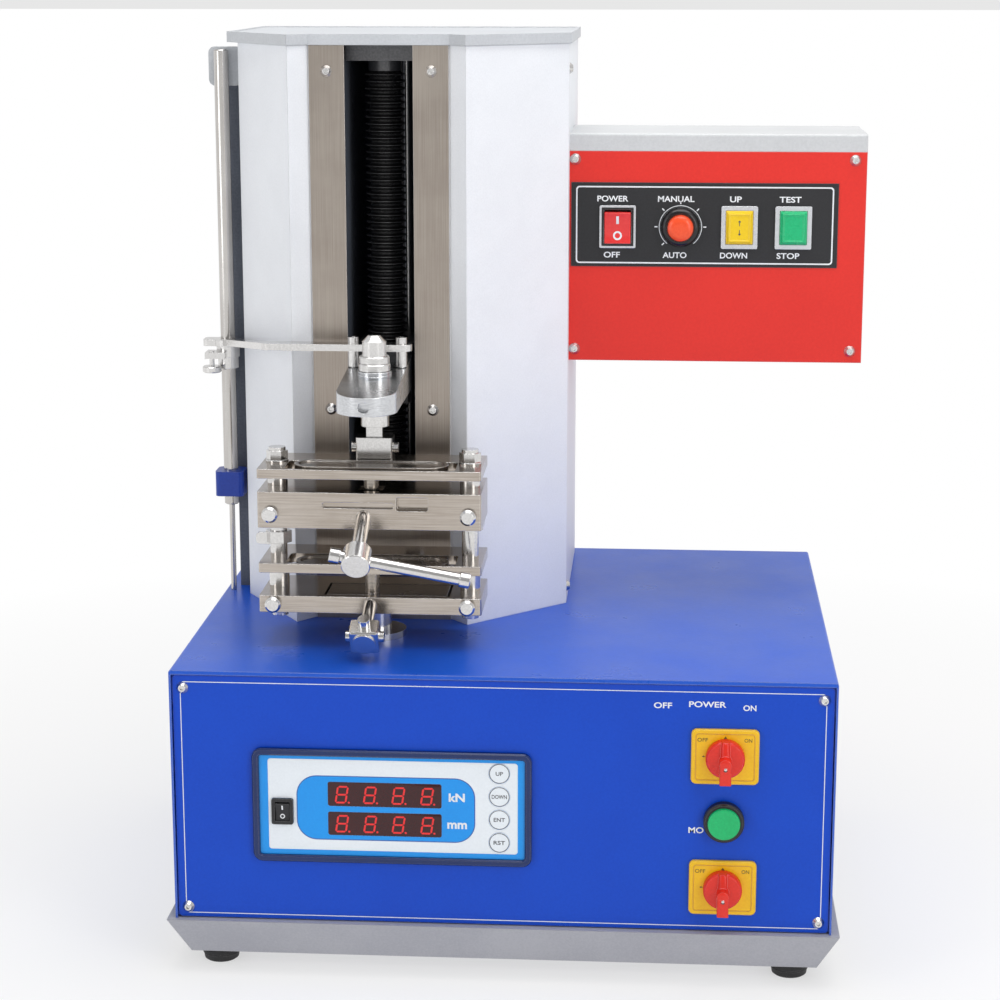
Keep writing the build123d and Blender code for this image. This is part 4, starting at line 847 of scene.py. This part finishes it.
for name, drop in (("power", -56.3), ("motor", -155.5)):
    inner_line = band("inner_line", rounded(switch_x - 21.3, switch_x + 21.3, drop - 17.6, drop + 17.6, 2.2),
                      rounded(switch_x - 20.7, switch_x + 20.7, drop - 17.0, drop + 17.0, 1.8),
                      plate_front - 0.25, plate_front)
    settle(inner_line, "base", line_yellow, "plate_yellow")
    inner_line.name = name + "_plate_line"
    marks = [
        caption("off", "OFF", switch_x - 20, switch_x - 12.5, drop + 11.5, drop + 14.3, plate_front, 0.01),
        plaque("up_arrow", upright_arrow(switch_x, drop), plate_front - print_depth, plate_front),
        plaque("side_arrow", level_arrow(switch_x, drop), plate_front - print_depth, plate_front),
        caption("on", "ON", switch_x + 13.5, switch_x + 19, drop + 11.5, drop + 14.3, plate_front, 0.01),
    ]
    settle(joined(name + "_plate_print", marks), "base", olive_print, "plate_yellow")

    seat = at(switch_x, plate_front, drop)
    skirt = turned("skirt", seat, forward,
                   [(0, 0.3), (14, 0.3), (14, 5.6), (13.6, 6.9), (12.6, 7.8), (11.2, 8), (0, 8)], 64)
    ridge = wedge("ridge", tapered((-9, drop - 6, handle_half), (-17.5, drop - 6, 2.6),
                                   (-9, drop + 14, 3.6), (-13.5, drop + 14, 2.2)), 1.2)
    grip = wedge("grip", tapered((-5.5, drop - handle_low, handle_half),
                                 (handle_front, drop - handle_low + 0.5, handle_half),
                                 (-5.5, drop + 2, handle_half), (handle_front, drop + 0.5, 3.9)), 0.9)
    boss = turned("boss", at(switch_x, -5, drop), forward,
                  [(0, 0), (4.6, 0), (4.6, 14), (4.3, 17.3), (3.6, 17.7), (0, 17.7)], 40)
    settle(joined(name + "_handle", [skirt, ridge, grip, boss]), name + "_handle", handle_red, "handle_red",
           name + "_switch_handle")
    dot = at(switch_x, handle_front, drop - dot_drop)
    # A thin black disc under the screw head is painted shade for the dark screw hole.
    hole_shade = turned("hole_shade", dot, forward, [(0, -0.2), (1.9, -0.2), (1.9, 0.06), (0, 0.06)], 24)
    settle(hole_shade, name + "_handle", black_plastic, "black_plastic")
    hole_shade.name = name + "_handle_hole_shade"
    head = turned("head", dot, forward, [(0, 0), (1.1, 0), (1.1, 0.12), (0.7, 0.3), (0, 0.35)], 20)
    settle(head, name + "_handle", bright_steel, "bright_steel")
    head.name = name + "_handle_screw"

start_cap = turned("start_cap", at(switch_x, -7, -105), forward,
                   [(0, -4), (11.7, -4), (11.7, 1.6), (11.3, 2.5), (10.2, 2.9), (9.4, 2.75), (5, 2.9),
                    (0, 3.0)], 64)
settle(start_cap, "start_button", button_green, "button_green", "start_button")

# Console: a red sheet steel box with a grey pressed lid, and a black plate with a white line
# that carries the rocker, the selector and two push buttons.
console_red = surface("console_red", (0.74, 0.018, 0.010), (0.79, 0.022, 0.012), (0.35, 0.45),
                      stretch=(500, 500, 500), bump=0.04, edge=0.0012)
lid_grey = surface("lid_grey", (0.56, 0.57, 0.58), (0.62, 0.63, 0.64), (0.35, 0.45), edge=0.0012)
label_black = surface("label_black", (0.011, 0.011, 0.013), (0.016, 0.016, 0.019), (0.4, 0.5), bump=0.02)
dress("console_box", console_red)
dress("console_lid", lid_grey)
dress("console_label_plate", label_black)
console_face = 221.2
label_ink = console_face - print_depth
label_line = band("label_line", rounded(43.2, 241.4, 269.4, 329.2, 2.7),
                  rounded(44.3, 240.3, 270.5, 328.1, 2.0), label_ink, console_face)
upper_words = (317.2, 321.8)
lower_words = (273.8, 278.4)
console_captions = [
    ("power", "POWER", 59.6, 83.6, *upper_words),
    ("off", "OFF", 64.9, 77.5, *lower_words),
    ("manual", "MANUAL", 106.4, 134.5, *upper_words),
    ("auto", "AUTO", 110.6, 129.1, *lower_words),
    ("up", "UP", 161.8, 170.9, *upper_words),
    ("down", "DOWN", 154.9, 175.9, *lower_words),
    ("test", "TEST", 199.8, 216.6, *upper_words),
    ("stop", "STOP", 198.5, 216.1, *lower_words),
]
label_words = [label_line] + [caption(*row, front=console_face) for row in console_captions]
rocker_x = 75.5
selector_x = 124
jog_x = 169.4
test_x = 210.8
control_z = 298

dial_inner = 16.1
dial_outer = 16.7
dial_start = -52
dial_sweep = 284
tick_start = 17.6
tick_end = 20
tick_half = 0.45
arc = []
for number in range(41):
    angle = math.radians(dial_start + dial_sweep * number / 40)
    arc.append((math.cos(angle), math.sin(angle)))
outer_arc = [(selector_x + dial_outer * u, control_z + dial_outer * v) for u, v in arc]
inner_arc = [(selector_x + dial_inner * u, control_z + dial_inner * v) for u, v in reversed(arc)]
label_words.append(plaque("dial_line", outer_arc + inner_arc, label_ink, console_face))
for angle in (90, 135, 45, 180, 0, 225):
    way = Vector((math.cos(math.radians(angle)), math.sin(math.radians(angle))))
    side = Vector((-way.y, way.x)) * tick_half
    near = Vector((selector_x, control_z)) + way * tick_start
    far = Vector((selector_x, control_z)) + way * tick_end
    tick = [tuple(point) for point in (near + side, far + side, far - side, near - side)]
    label_words.append(plaque("tick", tick, label_ink, console_face))
settle(joined("console_printing", label_words), "base", print_white, "label_black")

# Console controls: snap-in switches in silver frames, a red rocker, a black selector with
# an orange cap, and two square lenses with a raised, hollowed face.
switch_silver = surface("switch_silver", (0.62, 0.63, 0.66), (0.72, 0.73, 0.76), (0.22, 0.32), metal=0.75)
rocker_red = surface("rocker_red", (0.80, 0.035, 0.035), (0.86, 0.05, 0.045), (0.18, 0.26))
knob_black = surface("knob_black", (0.006, 0.006, 0.007), (0.012, 0.012, 0.013), (0.2, 0.3))
knob_orange = surface("knob_orange", (0.86, 0.075, 0.018), (0.93, 0.10, 0.025), (0.2, 0.3))
cap_yellow = surface("cap_yellow", (0.84, 0.55, 0.001), (0.89, 0.61, 0.004), (0.2, 0.3))
cap_green = surface("cap_green", (0.0, 0.42, 0.15), (0.004, 0.50, 0.19), (0.2, 0.3))
dress("console_switch_frames", switch_silver)
rocker("power_rocker", "console_rocker", console_face - 1.2, 20.4, 24.6, 4, rocker_tilt, "console_rocker",
       rocker_red, "rocker_red")
frame_front = console_face - 2.5


def round_control(x, half_x, half_z, corner, steps=8):
    """A rounded rectangle about a control's middle on the label plate."""
    return rounded(x - half_x, x + half_x, control_z - half_z, control_z + half_z, corner, steps)


# A flat black band inside the rocker's silver frame is painted shade for the dark gap round the rocker.
rocker_gap_shade = band("rocker_gap_painted_shade", round_control(rocker_x, 12.4, 14.9, 0.6),
                  round_control(rocker_x, 10.7, 13.2, 0.3), frame_front - 0.3, frame_front)
settle(rocker_gap_shade, "base", black_plastic, "knob_black")

selector_seat = at(selector_x, console_face - 0.4, control_z)
skirt = turned("selector_skirt", selector_seat, forward,
               [(0, 0), (15.5, 0), (15.4, 2.0), (14.6, 4.6), (13.4, 6.2), (12.2, 6.9), (10.9, 7),
                (10.6, 6.4), (0, 6.4)], 64)
settle(skirt, "selector_knob", knob_black, "knob_black", "selector_knob")
dome = turned("selector_dome", selector_seat, forward,
              [(0, 5), (10, 5), (10, 12.2), (9.4, 14.2), (8.0, 15.4), (6.0, 15.9), (3, 16), (0, 16)], 64)
settle(dome, "selector_knob", knob_orange, "knob_black")


def lens(name, x, node, body, finish):
    """A square push-button lens: sloping sides, a raised rim and a slightly sunk face."""
    front = console_face - 6
    mesh = bmesh.new()
    rings = []
    for half_x, half_z, y in ((10.4, 12.9, console_face + 2), (10.4, 12.9, console_face - 2.6),
                              (10.1, 12.6, console_face - 3.4), (8.3, 10.7, front), (7.5, 9.9, front),
                              (6.9, 9.3, front + 0.5)):
        line = round_control(x, half_x, half_z, 0.6, 3)
        rings.append([mesh.verts.new(at(u, y, w)) for u, w in line])
    for one, two in zip(rings, rings[1:]):
        for number in range(len(one)):
            after = (number + 1) % len(one)
            mesh.faces.new([one[number], one[after], two[after], two[number]])
    mesh.faces.new(rings[-1])
    mesh.faces.new(list(reversed(rings[0])))
    settle(piece(name, mesh, 20), body, finish, "button_yellow", node)


lens("jog_lens", jog_x, "jog_button", "jog_button", cap_yellow)
lens("test_lens", test_x, "test_button", "test_button", cap_green)


def arrow(tail, tip):
    """The outline of a small arrow up or down the yellow lens, from its tail to its tip."""
    stem, wing = 0.3, 1.2
    neck = tip + math.copysign(1.6, tail - tip)
    return [(jog_x - stem, tail), (jog_x + stem, tail), (jog_x + stem, neck), (jog_x + wing, neck),
            (jog_x, tip), (jog_x - wing, neck), (jog_x - stem, neck)]


arrow_seat = console_face - 5.5
arrows = [plaque("arrow", arrow(control_z + side * 1.5, control_z + side * 6), arrow_seat - 0.05, arrow_seat)
          for side in (1, -1)]
settle(joined("jog_arrows", arrows), "jog_button", print_grey, "button_yellow")
